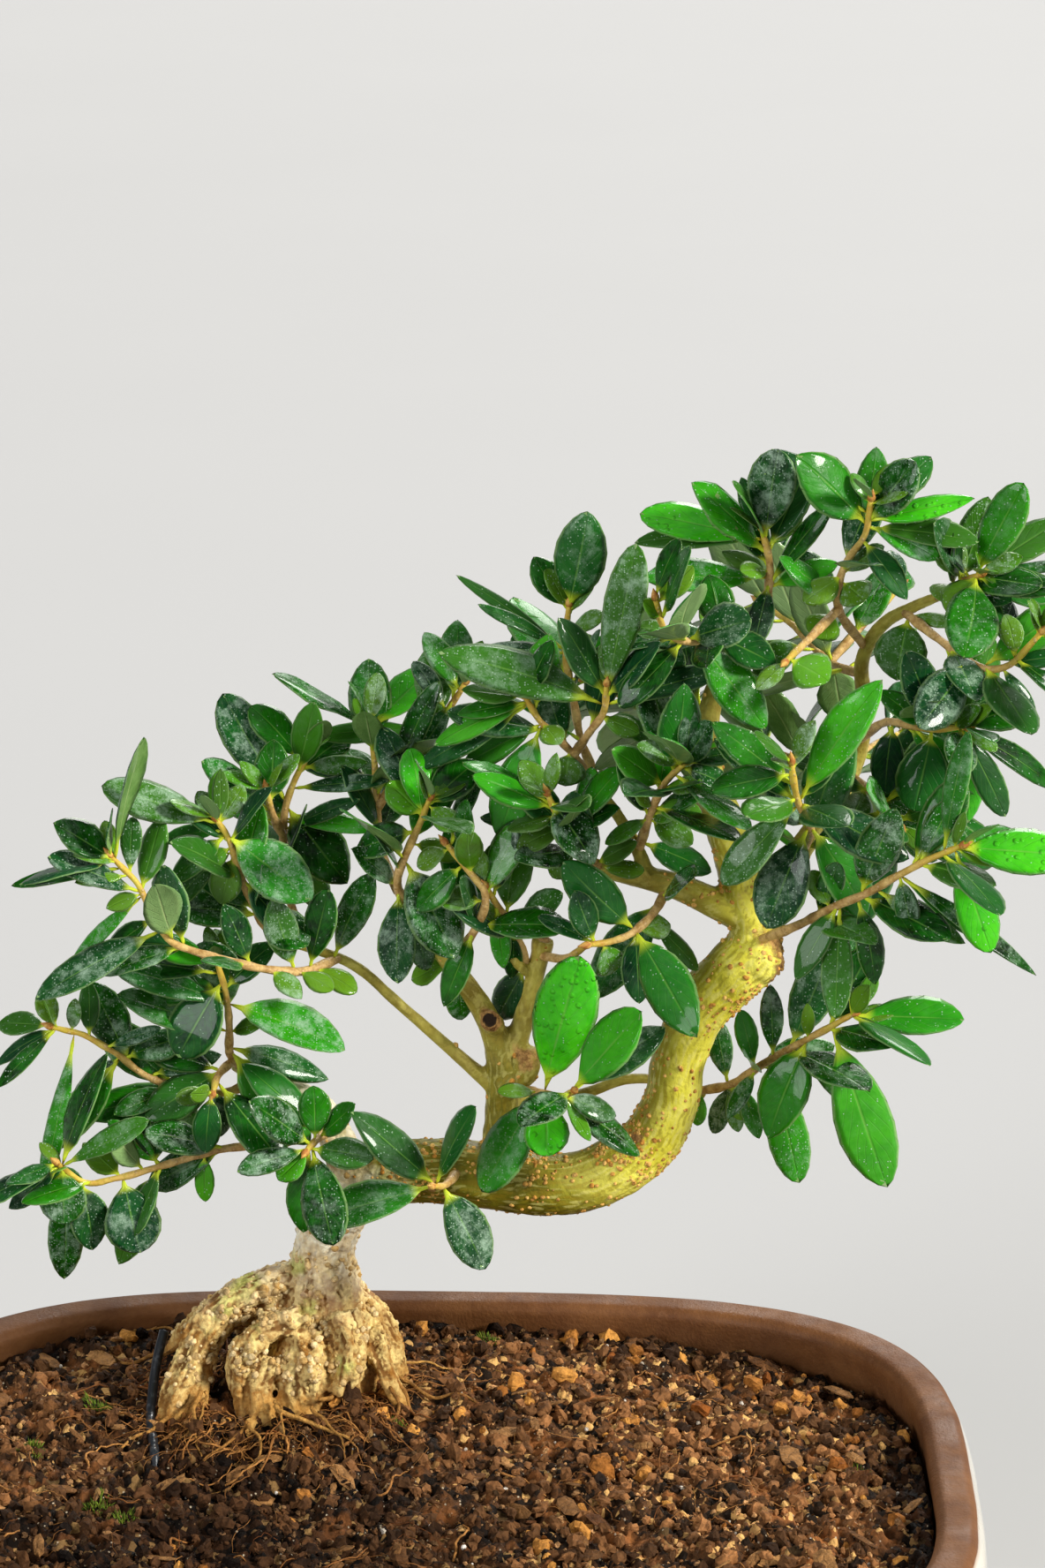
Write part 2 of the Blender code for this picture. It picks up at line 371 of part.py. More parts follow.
def tube(name, route, radii, sides, collection):
    """A closed tapering tube along a route in millimetres, made from a bevelled curve."""
    curve = bpy.data.curves.new(name, "CURVE")
    curve.dimensions = "3D"
    curve.bevel_depth = MM
    curve.bevel_resolution = (sides - 4) // 2
    curve.use_fill_caps = True
    spline = curve.splines.new("POLY")
    spline.points.add(len(route) - 1)
    for point, place, radius in zip(spline.points, route, radii):
        point.co = (place[0] * MM, place[1] * MM, place[2] * MM, 1.0)
        point.radius = radius
    guide = add_object(name + "_guide", curve, collection)
    bpy.context.view_layer.update()
    mesh = bpy.data.meshes.new_from_object(guide.evaluated_get(bpy.context.evaluated_depsgraph_get()))
    shape = bmesh.new()
    shape.from_mesh(mesh)
    bmesh.ops.remove_doubles(shape, verts=shape.verts, dist=1e-6)
    bmesh.ops.recalc_face_normals(shape, faces=shape.faces)
    bmesh.ops.triangulate(shape, faces=shape.faces)
    shape.to_mesh(mesh)
    shape.free()
    bpy.data.objects.remove(guide, do_unlink=True)
    bpy.data.curves.remove(curve)
    return add_object(name, mesh, collection)


def apply_modifiers(thing):
    bpy.context.view_layer.update()
    result = bpy.data.meshes.new_from_object(thing.evaluated_get(bpy.context.evaluated_depsgraph_get()))
    thing.modifiers.clear()
    thing.data = result


def combine(thing, collection, operation):
    """Joins the collection's shapes to the thing, or cuts them from it, and removes them when joined."""
    step = thing.modifiers.new("combine", "BOOLEAN")
    step.operation = operation
    step.operand_type = "COLLECTION"
    step.collection = collection
    step.solver = "EXACT"
    apply_modifiers(thing)


def empty_collection(collection):
    for thing in list(collection.objects):
        bpy.data.objects.remove(thing, do_unlink=True)


def drop_scraps(shape):
    """Removes every loose body but the largest one."""
    waiting = set(shape.faces)
    bodies = []
    while waiting:
        front = [waiting.pop()]
        body = set(front)
        while front:
            face = front.pop()
            for edge in face.edges:
                for other in edge.link_faces:
                    if other in waiting:
                        waiting.discard(other)
                        body.add(other)
                        front.append(other)
        bodies.append(body)
    bodies.sort(key=lambda body: sum(face.calc_area() for face in body))
    bmesh.ops.delete(shape, geom=[face for body in bodies[:-1] for face in body], context="FACES")


def tidied(mesh, merge, flat):
    """The mesh's largest body in triangles, with near points and flat faces merged within these limits."""
    shape = bmesh.new()
    shape.from_mesh(mesh)
    if merge:
        bmesh.ops.remove_doubles(shape, verts=shape.verts, dist=merge)
        bmesh.ops.dissolve_degenerate(shape, edges=shape.edges, dist=merge)
    drop_scraps(shape)
    if flat:
        bmesh.ops.dissolve_limit(shape, angle_limit=flat, verts=shape.verts, edges=shape.edges)
    bmesh.ops.triangulate(shape, faces=shape.faces)
    return shape


def keep_largest_body(thing):
    """Drops the scraps that joining leaves, and merges points and faces as far as the surface stays closed."""
    for merge, flat in ((MERGE_WITHIN, FLAT_WITHIN), (0.0, FLAT_WITHIN), (MERGE_WITHIN, 0.0), (0.0, 0.0)):
        shape = tidied(thing.data, merge, flat)
        if all(len(edge.link_faces) == 2 for edge in shape.edges):
            break
    shape.to_mesh(thing.data)
    shape.free()


def plan_point(inset, angle):
    """A point of the pot's plan: a superellipse, this far in from the rim's outer edge."""
    half_across, half_deep = RIM_HALF[0] - inset, RIM_HALF[1] - inset
    cosine, sine = math.cos(angle), math.sin(angle)
    power = 2.0 / PLAN_POWER
    return (half_across * math.copysign(abs(cosine) ** power, cosine),
            half_deep * math.copysign(abs(sine) ** power, sine))


def plan_angles():
    """Angles that space the plan's points evenly round its corners."""
    turns = [math.tau * (index + 0.5) / PLAN_SIDES for index in range(PLAN_SIDES)]
    return [turn - 0.16 * math.sin(4 * turn) for turn in turns]


def loft(name, rings, collection):
    """A closed body through rings of equal count, with its first and last ring capped."""
    shape = bmesh.new()
    rows = [[shape.verts.new((x * MM, y * MM, z * MM)) for x, y, z in ring] for ring in rings]
    for lower, upper in zip(rows, rows[1:]):
        for index in range(len(lower)):
            following = (index + 1) % len(lower)
            shape.faces.new((lower[index], lower[following], upper[following], upper[index]))
    shape.faces.new(list(reversed(rows[0])))
    shape.faces.new(rows[-1])
    bmesh.ops.recalc_face_normals(shape, faces=shape.faces)
    bmesh.ops.triangulate(shape, faces=shape.faces)
    mesh = bpy.data.meshes.new(name)
    shape.to_mesh(mesh)
    shape.free()
    return add_object(name, mesh, collection)


def plan_ring(inset, height):
    return [(*plan_point(inset, angle), height) for angle in plan_angles()]


def make_pot(parts, scraps, cutters):
    """The glazed bowl with a flat brown rim, a floor with two drain holes, and four feet."""
    floor_height = FOOT_HEIGHT + FLOOR_THICKNESS
    foot_tall = FOOT_HEIGHT + FOOT_SUNK
    profile = [
        (BASE_IN + 3.0, FOOT_HEIGHT), (BASE_IN, FOOT_HEIGHT + 3.0), (BASE_IN - 9.0, 26.0), (1.0, 40.0),
        (-BELLY_OUT, 54.0), (-BELLY_OUT, 62.0), (-0.6, 69.0), (0.6, RIM_HEIGHT - 0.8), (2.2, RIM_HEIGHT),
        (RIM_WIDTH - 2.2, RIM_HEIGHT), (RIM_WIDTH - 0.5, RIM_HEIGHT - 1.0), (RIM_WIDTH, RIM_HEIGHT - 3.0),
        (RIM_WIDTH - 2.0, RIM_HEIGHT - 16.0), (RIM_WIDTH + 2.0, 40.0), (BASE_IN + 4.0, floor_height + 4.0),
        (BASE_IN + 9.0, floor_height),
    ]
    pot = loft("pot", [plan_ring(inset, height) for inset, height in profile], parts)
    for across in (-1, 1):
        for deep in (-1, 1):
            bpy.ops.mesh.primitive_cube_add(size=1.0)
            foot = bpy.context.object
            foot.scale = (FOOT_SIZE[0] * MM, FOOT_SIZE[1] * MM, foot_tall * MM)
            foot.location = (across * FOOT_PLACE[0] * MM, deep * FOOT_PLACE[1] * MM, foot_tall / 2 * MM)
            bpy.ops.object.transform_apply(location=True, rotation=True, scale=True)
            bevel = foot.modifiers.new("round", "BEVEL")
            bevel.width = 2.0 * MM
            bevel.segments = 2
            apply_modifiers(foot)
            move_to(foot, scraps)
    combine(pot, scraps, "UNION")
    empty_collection(scraps)
    for across in (-1, 1):
        bpy.ops.mesh.primitive_cylinder_add(vertices=20, radius=DRAIN_RADIUS * MM, depth=30 * MM,
                                            location=(across * DRAIN_PLACE * MM, 0.0, floor_height * MM))
        drill = bpy.context.object
        drill.name = "drain_drill_" + ("right" if across > 0 else "left")
        move_to(drill, cutters)
        drill.hide_render = True
        drill.display_type = "WIRE"
    combine(pot, cutters, "DIFFERENCE")
    keep_largest_body(pot)
    return pot


def move_to(thing, collection):
    for owner in list(thing.users_collection):
        owner.objects.unlink(thing)
    collection.objects.link(thing)


def make_nets(parts, scraps):
    """A plastic net over each drain hole: a thin square frame with crossing bars."""
    nets = []
    height = FOOT_HEIGHT + FLOOR_THICKNESS + GAP + NET_THICKNESS / 2
    for side, across in (("left", -1), ("right", 1)):
        bars = []
        for index in range(3):
            offset = (index - 1) * (NET_HALF - 1.0)
            bars.append((offset, 0.0, 2.0, NET_HALF * 2))
            bars.append((0.0, offset, NET_HALF * 2, 2.0))
        for number, (x, y, wide, deep) in enumerate(bars):
            bpy.ops.mesh.primitive_cube_add(size=1.0)
            bar = bpy.context.object
            bar.scale = (wide * MM, deep * MM, (NET_THICKNESS - 0.02 * (number % 2)) * MM)
            bar.location = ((across * DRAIN_PLACE + x) * MM, y * MM, height * MM)
            bpy.ops.object.transform_apply(location=True, rotation=True, scale=True)
            move_to(bar, scraps)
        net = scraps.objects[0]
        net.name = "drain_net_" + side
        move_to(net, parts)
        combine(net, scraps, "UNION")
        empty_collection(scraps)
        keep_largest_body(net)
        nets.append(net)
    return nets


def soil_height(x, y):
    """The soil's top: level near the wall, mounded round the trunk, and lower at the right back."""
    mound = SOIL_MOUND * math.exp(-0.5 * (math.dist((x, y), MOUND_PLACE) / MOUND_REACH) ** 2)
    dip = SOIL_DIP * math.exp(-0.5 * (math.dist((x, y), DIP_PLACE) / DIP_REACH) ** 2)
    crumb = CRUMB_HEIGHT * math.sin(x * 0.21 + 1.3) * math.sin(y * 0.17 + 0.4)
    return SOIL_EDGE_HEIGHT + mound - dip + crumb


def wall_inset(height):
    """How far the pot's inner wall stands in from the rim's outer edge at this height."""
    heights = (17.0, 19.0, 40.0, RIM_HEIGHT - 16.0, RIM_HEIGHT - 3.0)
    insets = (BASE_IN + 6.6, BASE_IN + 4.0, RIM_WIDTH + 2.0, RIM_WIDTH - 2.0, RIM_WIDTH)
    return float(np.interp(height, heights, insets))


def make_soil(parts):
    """The filled body of soil: it follows the wall, and its top is a mound."""
    rings = [plan_ring(BASE_IN + 14.0, SOIL_BOTTOM)]
    for height in (SOIL_BOTTOM + 2.5, 40.0, RIM_HEIGHT - 16.0):
        rings.append(plan_ring(wall_inset(height) + WALL_GAP, height))
    edge = RIM_WIDTH + GAP
    for inset in (edge, edge + 7.0, edge + 16.0, edge + 27.0, edge + 40.0, edge + 54.0, edge + 68.0):
        ring = []
        for angle in plan_angles():
            x, y = plan_point(inset, angle)
            ring.append((x, y, soil_height(x, y)))
        rings.append(ring)
    return loft("soil", rings, parts)


def build_wood(name, grow, ending, collection):
    """The trunk, limbs and roots as one body, each tube grown by this much."""
    routes = []
    for sides, points in list(WOOD.values()) + list(ROOTS.values()):
        route = [drawn(*point[:3]) for point in points]
        routes.append((sides, route, [point[3] + grow for point in points]))
    first = None
    for number, (sides, route, radii) in enumerate(routes):
        piece = tube(f"{name}_{number}", route, radii, sides, ending if first else collection)
        first = first or piece
    combine(first, ending, "UNION")
    empty_collection(ending)
    keep_largest_body(first)
    first.name = name
    return first


def leaf_shape(root, tip, breadth, normal, droop):
    """A blade from root to tip in millimetres: a long oval with a ridge along its midrib.

    It arches away from its normal by droop.
    """
    along = tip - root
    length = along.length
    along = along / length
    normal = (normal - along * normal.dot(along)).normalized()
    side = along.cross(normal)
    half = breadth / 2
    outline = ((0.3, half * 0.78), (0.62, half), (0.88, half * 0.64))
    ridge = (0.16, 0.6)

    def place(t, across, rise):
        arch = -droop * length * (t * t - t * 0.55)
        return root + along * (t * length) + side * across + normal * (arch + rise)

    points = [place(0.0, 0.0, 0.0)]
    for t, across in outline:
        points.append(place(t, across, 0.0))
        points.append(place(t, -across, 0.0))
    points.append(place(1.0, 0.0, 0.0))
    points += [place(t, 0.0, LEAF_THICKNESS) for t in ridge]
    upper = [(0, 1, 8), (1, 9, 8), (1, 3, 9), (3, 5, 9), (5, 7, 9)]
    middle = (0, 7, 8, 9)
    faces = [(0, 2, 1), (1, 2, 4), (1, 4, 3), (3, 4, 6), (3, 6, 5), (5, 6, 7)]
    for face in upper:
        mirrored = [index if index in middle else index + 1 for index in face]
        faces.append(face)
        faces.append((mirrored[0], mirrored[2], mirrored[1]))
    return points, faces


def leaf_object(name, blade, collection):
    points, faces = blade
    mesh = bpy.data.meshes.new(name)
    mesh.from_pydata([tuple(point * MM) for point in points], [], faces)
    shape = bmesh.new()
    shape.from_mesh(mesh)
    bmesh.ops.recalc_face_normals(shape, faces=shape.faces)
    shape.to_mesh(mesh)
    shape.free()
    return add_object(name, mesh, collection)


def nearest_on_route(route, point):
    """The distance from a point to a route, and the nearest place on it, kept in from its ends."""
    best = None
    for start, end in zip(route, route[1:]):
        span = end - start
        margin = min(0.4, ROOT_SUNK / span.length)
        t = max(margin, min(1.0 - margin, (point - start).dot(span) / span.length_squared))
        place = start + span * t
        distance = (point - place).length
        if best is None or distance < best[0]:
            best = (distance, place)
    return best


def leaf_trials(root, tip, breadth, normal, droop):
    """A leaf and its bent copies, nearest to the wanted one first, seen alike from the front."""
    away = (tip - EYE).normalized()
    for shift in BENT_BY:
        for size in (1.0, 0.85):
            moved = root + (tip + away * shift - root) * size
            yield leaf_shape(root, moved, breadth * size, normal, droop)


def crosses(blade, trees):
    points, faces = blade
    tree = BVHTree.FromPolygons([tuple(point) for point in points], faces, epsilon=0.0)
    return any(tree.overlap(other) for other in trees)


def grow_tree(thing):
    """A search tree of an object's faces, in millimetres."""
    mesh = thing.data
    points = [tuple(vertex.co / MM) for vertex in mesh.vertices]
    return BVHTree.FromPolygons(points, [tuple(face.vertices) for face in mesh.polygons], epsilon=0.0)


def deepened(spray):
    """The spray's twigs, with their depths drawn further out from the limb that carries them."""
    foot = spray["twigs"][0][0][2]
    return [[(across, down, foot + (depth - foot) * DEPTH_SPREAD) for across, down, depth in twig]
            for twig in spray["twigs"]]


def twig_routes(spray):
    """Each twig's route in space and its radii, thinner towards its end."""
    routes = []
    for twig in deepened(spray):
        route = [drawn(*point) for point in twig]
        radii = np.linspace(*TWIG_RADII, len(route))
        routes.append((route, radii))
    return routes


def twig_tree(spray, scraps):
    """A search tree of a spray's bare twigs, which the leaves of other sprays keep clear of."""
    points, faces = [], []
    for route, radii in twig_routes(spray):
        piece = tube("bare_twig", route, radii, TWIG_SIDES, scraps)
        first = len(points)
        points += [tuple(vertex.co / MM) for vertex in piece.data.vertices]
        faces += [tuple(first + index for index in face.vertices) for face in piece.data.polygons]
        bpy.data.objects.remove(piece, do_unlink=True)
    return BVHTree.FromPolygons(points, faces, epsilon=0.0)


def drawn_leaves(spray, routes, rng):
    """The leaves that the front drawing gives, as root, tip, breadth, normal and droop."""
    wanted = []
    for across, down, tip_across, tip_down, breadth, nearer in spray["leaves"]:
        candidates = []
        for twig in deepened(spray):
            for point in twig:
                distance = math.hypot(point[0] - across, point[1] - down)
                candidates.append((distance, point[2]))
        depth = min(candidates)[1]
        aim = drawn(across, down, depth)
        root = min((nearest_on_route(route, aim) for route, _ in routes), key=lambda found: found[0])[1]
        tip = drawn(tip_across, tip_down, root.y - nearer)
        facing = (EYE - tip).normalized()
        normal = (facing + Vector((0, 0, 0.9))).normalized()
        wanted.append((root, tip, breadth, normal, rng.uniform(*LEAF_DROOP)))
    return wanted


def free_leaves(routes, count, rng):
    """Leaves in crossed pairs along each twig, closer and wider towards its end."""
    wanted = []
    total = sum((end - start).length for route, _ in routes for start, end in zip(route, route[1:]))
    pairs = max(1, (count + 1) // 2)
    for number in range(pairs * 2):
        reach = total * (1.0 - 0.8 * ((number // 2) / pairs) ** 1.2)
        for route, _ in reversed(routes):
            lengths = [(end - start).length for start, end in zip(route, route[1:])]
            if reach <= sum(lengths) or route is routes[0][0]:
                break
            reach -= sum(lengths)
        reach = min(reach, sum(lengths))
        for start, end, span in zip(route, route[1:], lengths):
            if reach <= span:
                break
            reach -= span
        direction = (end - start).normalized()
        root = start + direction * max(ROOT_SUNK, min(reach, span - ROOT_SUNK))
        across = direction.orthogonal().normalized()
        turn = (number // 2) * 1.65 + (number % 2) * math.pi + rng.uniform(-0.4, 0.4)
        outward = Matrix.Rotation(turn, 3, direction) @ across
        heading = (outward + direction * rng.uniform(0.25, 0.8) + Vector((0, 0, 0.15))).normalized()
        length = rng.uniform(*LEAF_LENGTH)
        breadth = length * rng.uniform(*LEAF_BREADTH)
        normal = (direction + Vector((0, 0, 1.2))).normalized()
        wanted.append((root, root + heading * length, breadth, normal, rng.uniform(*LEAF_DROOP)))
    return wanted[:count]


def place_leaves(name, spray, others, rng, collection):
    """Places a spray's leaves so that none crosses what stands already."""
    routes = twig_routes(spray)
    goal = spray.get("count", SPRAY_LEAVES)
    wanted = drawn_leaves(spray, routes, rng)
    missing = max(0, goal - len(wanted))
    wanted += free_leaves(routes, missing, rng)
    placed = []
    for leaf in wanted:
        for blade in leaf_trials(*leaf):
            if crosses(blade, others) or crosses(blade, placed):
                continue
            points, faces = blade
            off_root = [face for face in faces if 0 not in face]
            placed.append(BVHTree.FromPolygons([tuple(point) for point in points], off_root, epsilon=0.0))
            leaf_object(f"{name}_leaf_{len(placed)}", blade, collection)
            break


def make_spray(name, spray, others, grown_wood, parts, scraps, cutters):
    """A leafy spray: its twigs and leaves joined in one body, cut clear of the limb that carries it."""
    rng = np.random.default_rng(LEAF_SEED + sum(ord(letter) for letter in name))
    place_leaves(name, spray, others, rng, scraps)
    body = None
    for number, (route, radii) in enumerate(twig_routes(spray)):
        piece = tube(f"{name}_twig_{number}", route, radii, TWIG_SIDES, scraps if body else parts)
        body = body or piece
    combine(body, scraps, "UNION")
    empty_collection(scraps)
    move_to(grown_wood, cutters)
    combine(body, cutters, "DIFFERENCE")
    keep_largest_body(body)
    body.name = name
    return body


def make_tie_wire(parts):
    """The end of a black tie wire that stands out of the soil beside the roots."""
    route = smooth_route([drawn(*point) for point in TIE_WIRE], 2)
    return tube("tie_wire", route, [TIE_WIRE_RADIUS] * len(route), 6, parts)


def stand_at_origin(things):
    """Moves the whole model so that its box stands on the origin, at the middle of its base."""
    corners = np.vstack([np.array([vertex.co for vertex in thing.data.vertices]) for thing in things])
    low, high = corners.min(axis=0), corners.max(axis=0)
    shift = Vector((-(low[0] + high[0]) / 2, -(low[1] + high[1]) / 2, -low[2]))
    for thing in things:
        thing.data.transform(Matrix.Translation(shift))


def main():
    clear_scene()
    parts = make_collection("olive_bonsai")
    scraps = make_collection("pieces_to_join")
    cutters = make_collection("cutters")
    materials = {name: make_material(name, colour, 0.35 if name in ("pot", "leaf") else 0.8)
                 for name, colour in COLOURS.items()}

    pot = make_pot(parts, scraps, cutters)
    empty_collection(cutters)
    nets = make_nets(parts, scraps)
    soil = make_soil(parts)
    wire = make_tie_wire(parts)
    wood = build_wood("trunk", 0.0, scraps, parts)
    grown_wood = build_wood("grown_wood", GAP, scraps, cutters)
    grown_wire = wire.copy()
    grown_wire.data = wire.data.copy()
    cutters.objects.link(grown_wire)
    swell = grown_wire.modifiers.new("swell", "DISPLACE")
    swell.strength = GAP * MM
    swell.mid_level = 0.0
    apply_modifiers(grown_wire)
    combine(soil, cutters, "DIFFERENCE")
    keep_largest_body(soil)
    bpy.data.objects.remove(grown_wire, do_unlink=True)

    things = [pot, soil, wire, wood, *nets]
    others = [grow_tree(thing) for thing in (pot, soil, wire, grown_wood)]
    sprays = []
    bare_twigs = {name: twig_tree(spray, scraps) for name, spray in SPRAYS.items()}
    for name, spray in SPRAYS.items():
        standing = others + [tree for other, tree in bare_twigs.items() if other != name]
        body = make_spray(name, spray, standing, grown_wood, parts, scraps, cutters)
        others.append(grow_tree(body))
        sprays.append(body)
    empty_collection(cutters)
    stand_at_origin(things + sprays)

    slots = {"pot": "pot", "soil": "soil", "tie_wire": "wire", "trunk": "wood",
             "drain_net_left": "net", "drain_net_right": "net"}
    for thing in things + sprays:
        thing.data.materials.clear()
        thing.data.materials.append(materials[slots.get(thing.name, "leaf")])
        thing.data.shade_smooth()
        thing.data.set_sharp_from_angle(angle=math.radians(40))


main()
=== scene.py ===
"""The looks of an olive bonsai in its pot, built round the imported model.

Shapes are worked out in the drawing's millimetres and moved into the frame as they become meshes. The
drawing is the tree seen from the front: a drawing point is written across from the sheet's left edge
and down from its top, as the eye at EYE sees it at SHEET_DISTANCE, and its depth is how far back it
stands from the middle of the pot.
"""

import json
import math
from functools import partialmethod

import bmesh
import bpy
import numpy as np
from mathutils import Matrix, Vector
from mathutils.kdtree import KDTree

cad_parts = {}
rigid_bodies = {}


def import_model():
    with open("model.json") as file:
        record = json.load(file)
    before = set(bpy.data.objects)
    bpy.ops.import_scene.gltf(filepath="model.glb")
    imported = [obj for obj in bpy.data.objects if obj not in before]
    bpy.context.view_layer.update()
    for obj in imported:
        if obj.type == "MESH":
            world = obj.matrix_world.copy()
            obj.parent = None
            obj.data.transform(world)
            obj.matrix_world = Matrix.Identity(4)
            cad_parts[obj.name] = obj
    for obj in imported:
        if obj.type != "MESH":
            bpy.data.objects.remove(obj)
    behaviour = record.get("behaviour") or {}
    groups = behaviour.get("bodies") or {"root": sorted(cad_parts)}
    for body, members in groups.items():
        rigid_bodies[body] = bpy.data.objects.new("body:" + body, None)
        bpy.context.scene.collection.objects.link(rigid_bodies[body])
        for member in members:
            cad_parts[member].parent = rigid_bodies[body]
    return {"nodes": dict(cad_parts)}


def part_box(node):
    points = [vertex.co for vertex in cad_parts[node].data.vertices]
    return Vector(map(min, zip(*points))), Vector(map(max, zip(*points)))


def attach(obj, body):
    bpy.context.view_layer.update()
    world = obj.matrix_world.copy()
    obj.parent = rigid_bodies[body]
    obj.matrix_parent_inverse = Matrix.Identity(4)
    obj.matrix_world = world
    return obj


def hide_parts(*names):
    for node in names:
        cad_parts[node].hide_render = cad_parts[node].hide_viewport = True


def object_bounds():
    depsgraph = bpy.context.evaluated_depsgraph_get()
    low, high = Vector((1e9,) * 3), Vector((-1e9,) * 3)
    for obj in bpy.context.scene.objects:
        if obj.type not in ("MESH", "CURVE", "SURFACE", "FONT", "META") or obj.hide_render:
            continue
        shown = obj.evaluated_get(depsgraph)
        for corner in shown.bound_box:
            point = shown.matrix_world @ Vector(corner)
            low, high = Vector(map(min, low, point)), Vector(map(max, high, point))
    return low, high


MM = 0.001

# The eye that the front drawing is seen from, in millimetres from the pot's middle
EYE = np.array((44.3, -717.0, 446.7))
PITCH = math.radians(17.28)
TURN = math.radians(-1.62)
SHEET_DISTANCE = 840.0
SHEET_MIDDLE = np.array((118.4, 177.6))
SHEET_HEIGHT = 355.2
SENSOR = 36.0

# The pot
RIM_HALF = (120.0, 85.0)
PLAN_POWER = 3.4
RIM_HEIGHT = 72.0
RIM_WIDTH = 8.5
BELLY_OUT = 2.4
BASE_IN = 15.0
FOOT_HEIGHT = 8.0
FLOOR_THICKNESS = 7.0
FOOT_SIZE = (28.0, 20.0)
FOOT_PLACE = (70.0, 44.0)
DRAIN_RADIUS = 9.0
DRAIN_PLACE = 48.0
DRAIN_SIDES = 48
FOOT_SIDES = 40
PLAN_STEPS = 288
SOIL_STEPS = 420
SEAM = 0.001

# The soil
SOIL_EDGE_HEIGHT = 65.5
SOIL_MOUND = 5.0
SOIL_DIP = 3.5
SOIL_BOTTOM = FOOT_HEIGHT + FLOOR_THICKNESS + 2.0
MOUND_PLACE = (-26.0, 42.0)
MOUND_REACH = 30.0
DIP_PLACE = (95.0, 60.0)
DIP_REACH = 34.0

# Where the random draws start
WOOD_SEED, WART_SEED, PIMPLE_SEED, SOIL_SEED, DRIFT_SEED, SPRAY_SEED = 31, 32, 35, 51, 77, 900

# Leaves, by the rule that the solids follow
LEAF_SEED = 7
ROOT_SUNK = 1.4
TWIG_RADII = (1.15, 0.65)
DEPTH_SPREAD = 1.7
LEAF_LENGTH = (19.0, 28.0)
LEAF_BREADTH = (0.34, 0.46)
LEAF_DROOP = (0.10, 0.16)
BENT_BY = (0, 3, -3, 6, -6, 9, -9, 13, -13)
SPRAY_LEAVES = 13
FOUND_WITHIN = 0.05

# The trunk and its limbs, as drawing points with a depth and a radius
WOOD = {
    "trunk": (10, [(72, 326, 42, 14.5), (72, 313, 42, 14.5), (72.5, 302, 42, 13), (73.3, 292.5, 42, 9.3),
        (73.5, 284, 42, 7.3), (75, 277, 41, 7), (78.5, 270.5, 40, 7.4), (84, 266.3, 40, 7.6), (94, 265.3, 40, 7.1),
        (104, 265.5, 40, 7.4), (114, 267, 40, 7.2), (124, 268.4, 40, 6.9), (133, 267.3, 40, 6.8),
        (141, 263.5, 40, 6.9), (148, 257.5, 40, 6.6), (152.2, 249, 40, 6.1), (153.7, 240.5, 40, 6),
        (156.5, 232.5, 40, 6.1), (160, 226.5, 40, 6.5), (165.5, 221, 40, 6.8), (170.3, 215.8, 41, 6.7),
        (170.8, 209.5, 42, 5.3), (168.5, 203, 42, 4.8), (167.3, 196, 42, 4.7), (165, 188.5, 41, 4.6),
        (161.8, 180.5, 40, 4), (159.8, 172, 39, 3.2), (160.5, 163, 39, 2.6), (162.5, 155, 40, 2.1),
        (167, 148, 42, 1.8), (171.5, 141.5, 43, 1.5), (174, 134, 44, 1.3)]),
    "elbow_knob": (8, [(166, 221, 40, 4), (171.5, 217.5, 39, 5.6), (174.2, 214.5, 38, 4.2)]),
    "first_bend_limb": (6, [(80, 267, 40, 4.6), (76.5, 258.5, 40, 4), (72.5, 250.5, 41, 2.9), (66.5, 246.5, 42, 2),
        (59, 244.5, 43, 1.6), (53, 241, 44, 1.4)]),
    "arch_limb": (8, [(113, 265, 40, 4), (113.5, 256, 40, 3.9), (114, 248, 40, 3.8), (114, 240.5, 40, 3.7),
        (111.5, 233, 39, 2.8), (107, 225, 38, 2.4), (101, 217, 37, 2), (96.5, 211, 36, 1.8), (91.5, 204.5, 36, 1.5)]),
    "arch_fork": (6, [(114.5, 241, 40, 3), (117.5, 234.5, 40, 2.6), (120, 226, 40, 2.2), (122.8, 214.5, 40, 2.1)]),
    "arch_low_limb": (6, [(112, 246, 40, 2.2), (106, 241, 40, 1.6), (98, 234, 39, 1.35), (90, 227, 38, 1.25),
        (81.5, 219.5, 37, 1.2), (74, 216, 36, 1.15), (66, 213.5, 36, 1.1)]),
    "arch_back_limb": (6, [(115, 249, 42, 2.4), (123, 250, 47, 1.6), (133, 247.5, 52, 1.3), (142, 244.5, 54, 1.2),
        (151, 245, 55, 1.15), (160, 248, 54, 1.1)]),
    "elbow_limb": (8, [(170, 208, 42, 4), (162, 204.5, 41, 3.5), (154, 201, 40, 2.9), (146, 198.8, 38, 2.5),
        (138.5, 197.5, 37, 1.8), (134.5, 195.5, 36, 1.3)]),
    "elbow_twig": (6, [(147, 199, 38, 1.9), (144, 191.5, 39, 1.5), (140.5, 185.5, 40, 1.35), (136.5, 180, 41, 1.2),
        (132, 174.5, 43, 1.1)]),
    "right_leader": (6, [(170.5, 210, 44, 3.4), (175.5, 202, 48, 2.9), (181, 193, 53, 2.7), (188, 183, 58, 2.5),
        (192.5, 175, 60, 2.4), (195.3, 166, 60, 2.1), (195.5, 157, 58, 1.8), (195.5, 149, 56, 1.6),
        (200, 141.5, 54, 1.5), (207, 137.5, 52, 1.3), (214, 134.5, 50, 1.1)]),
}

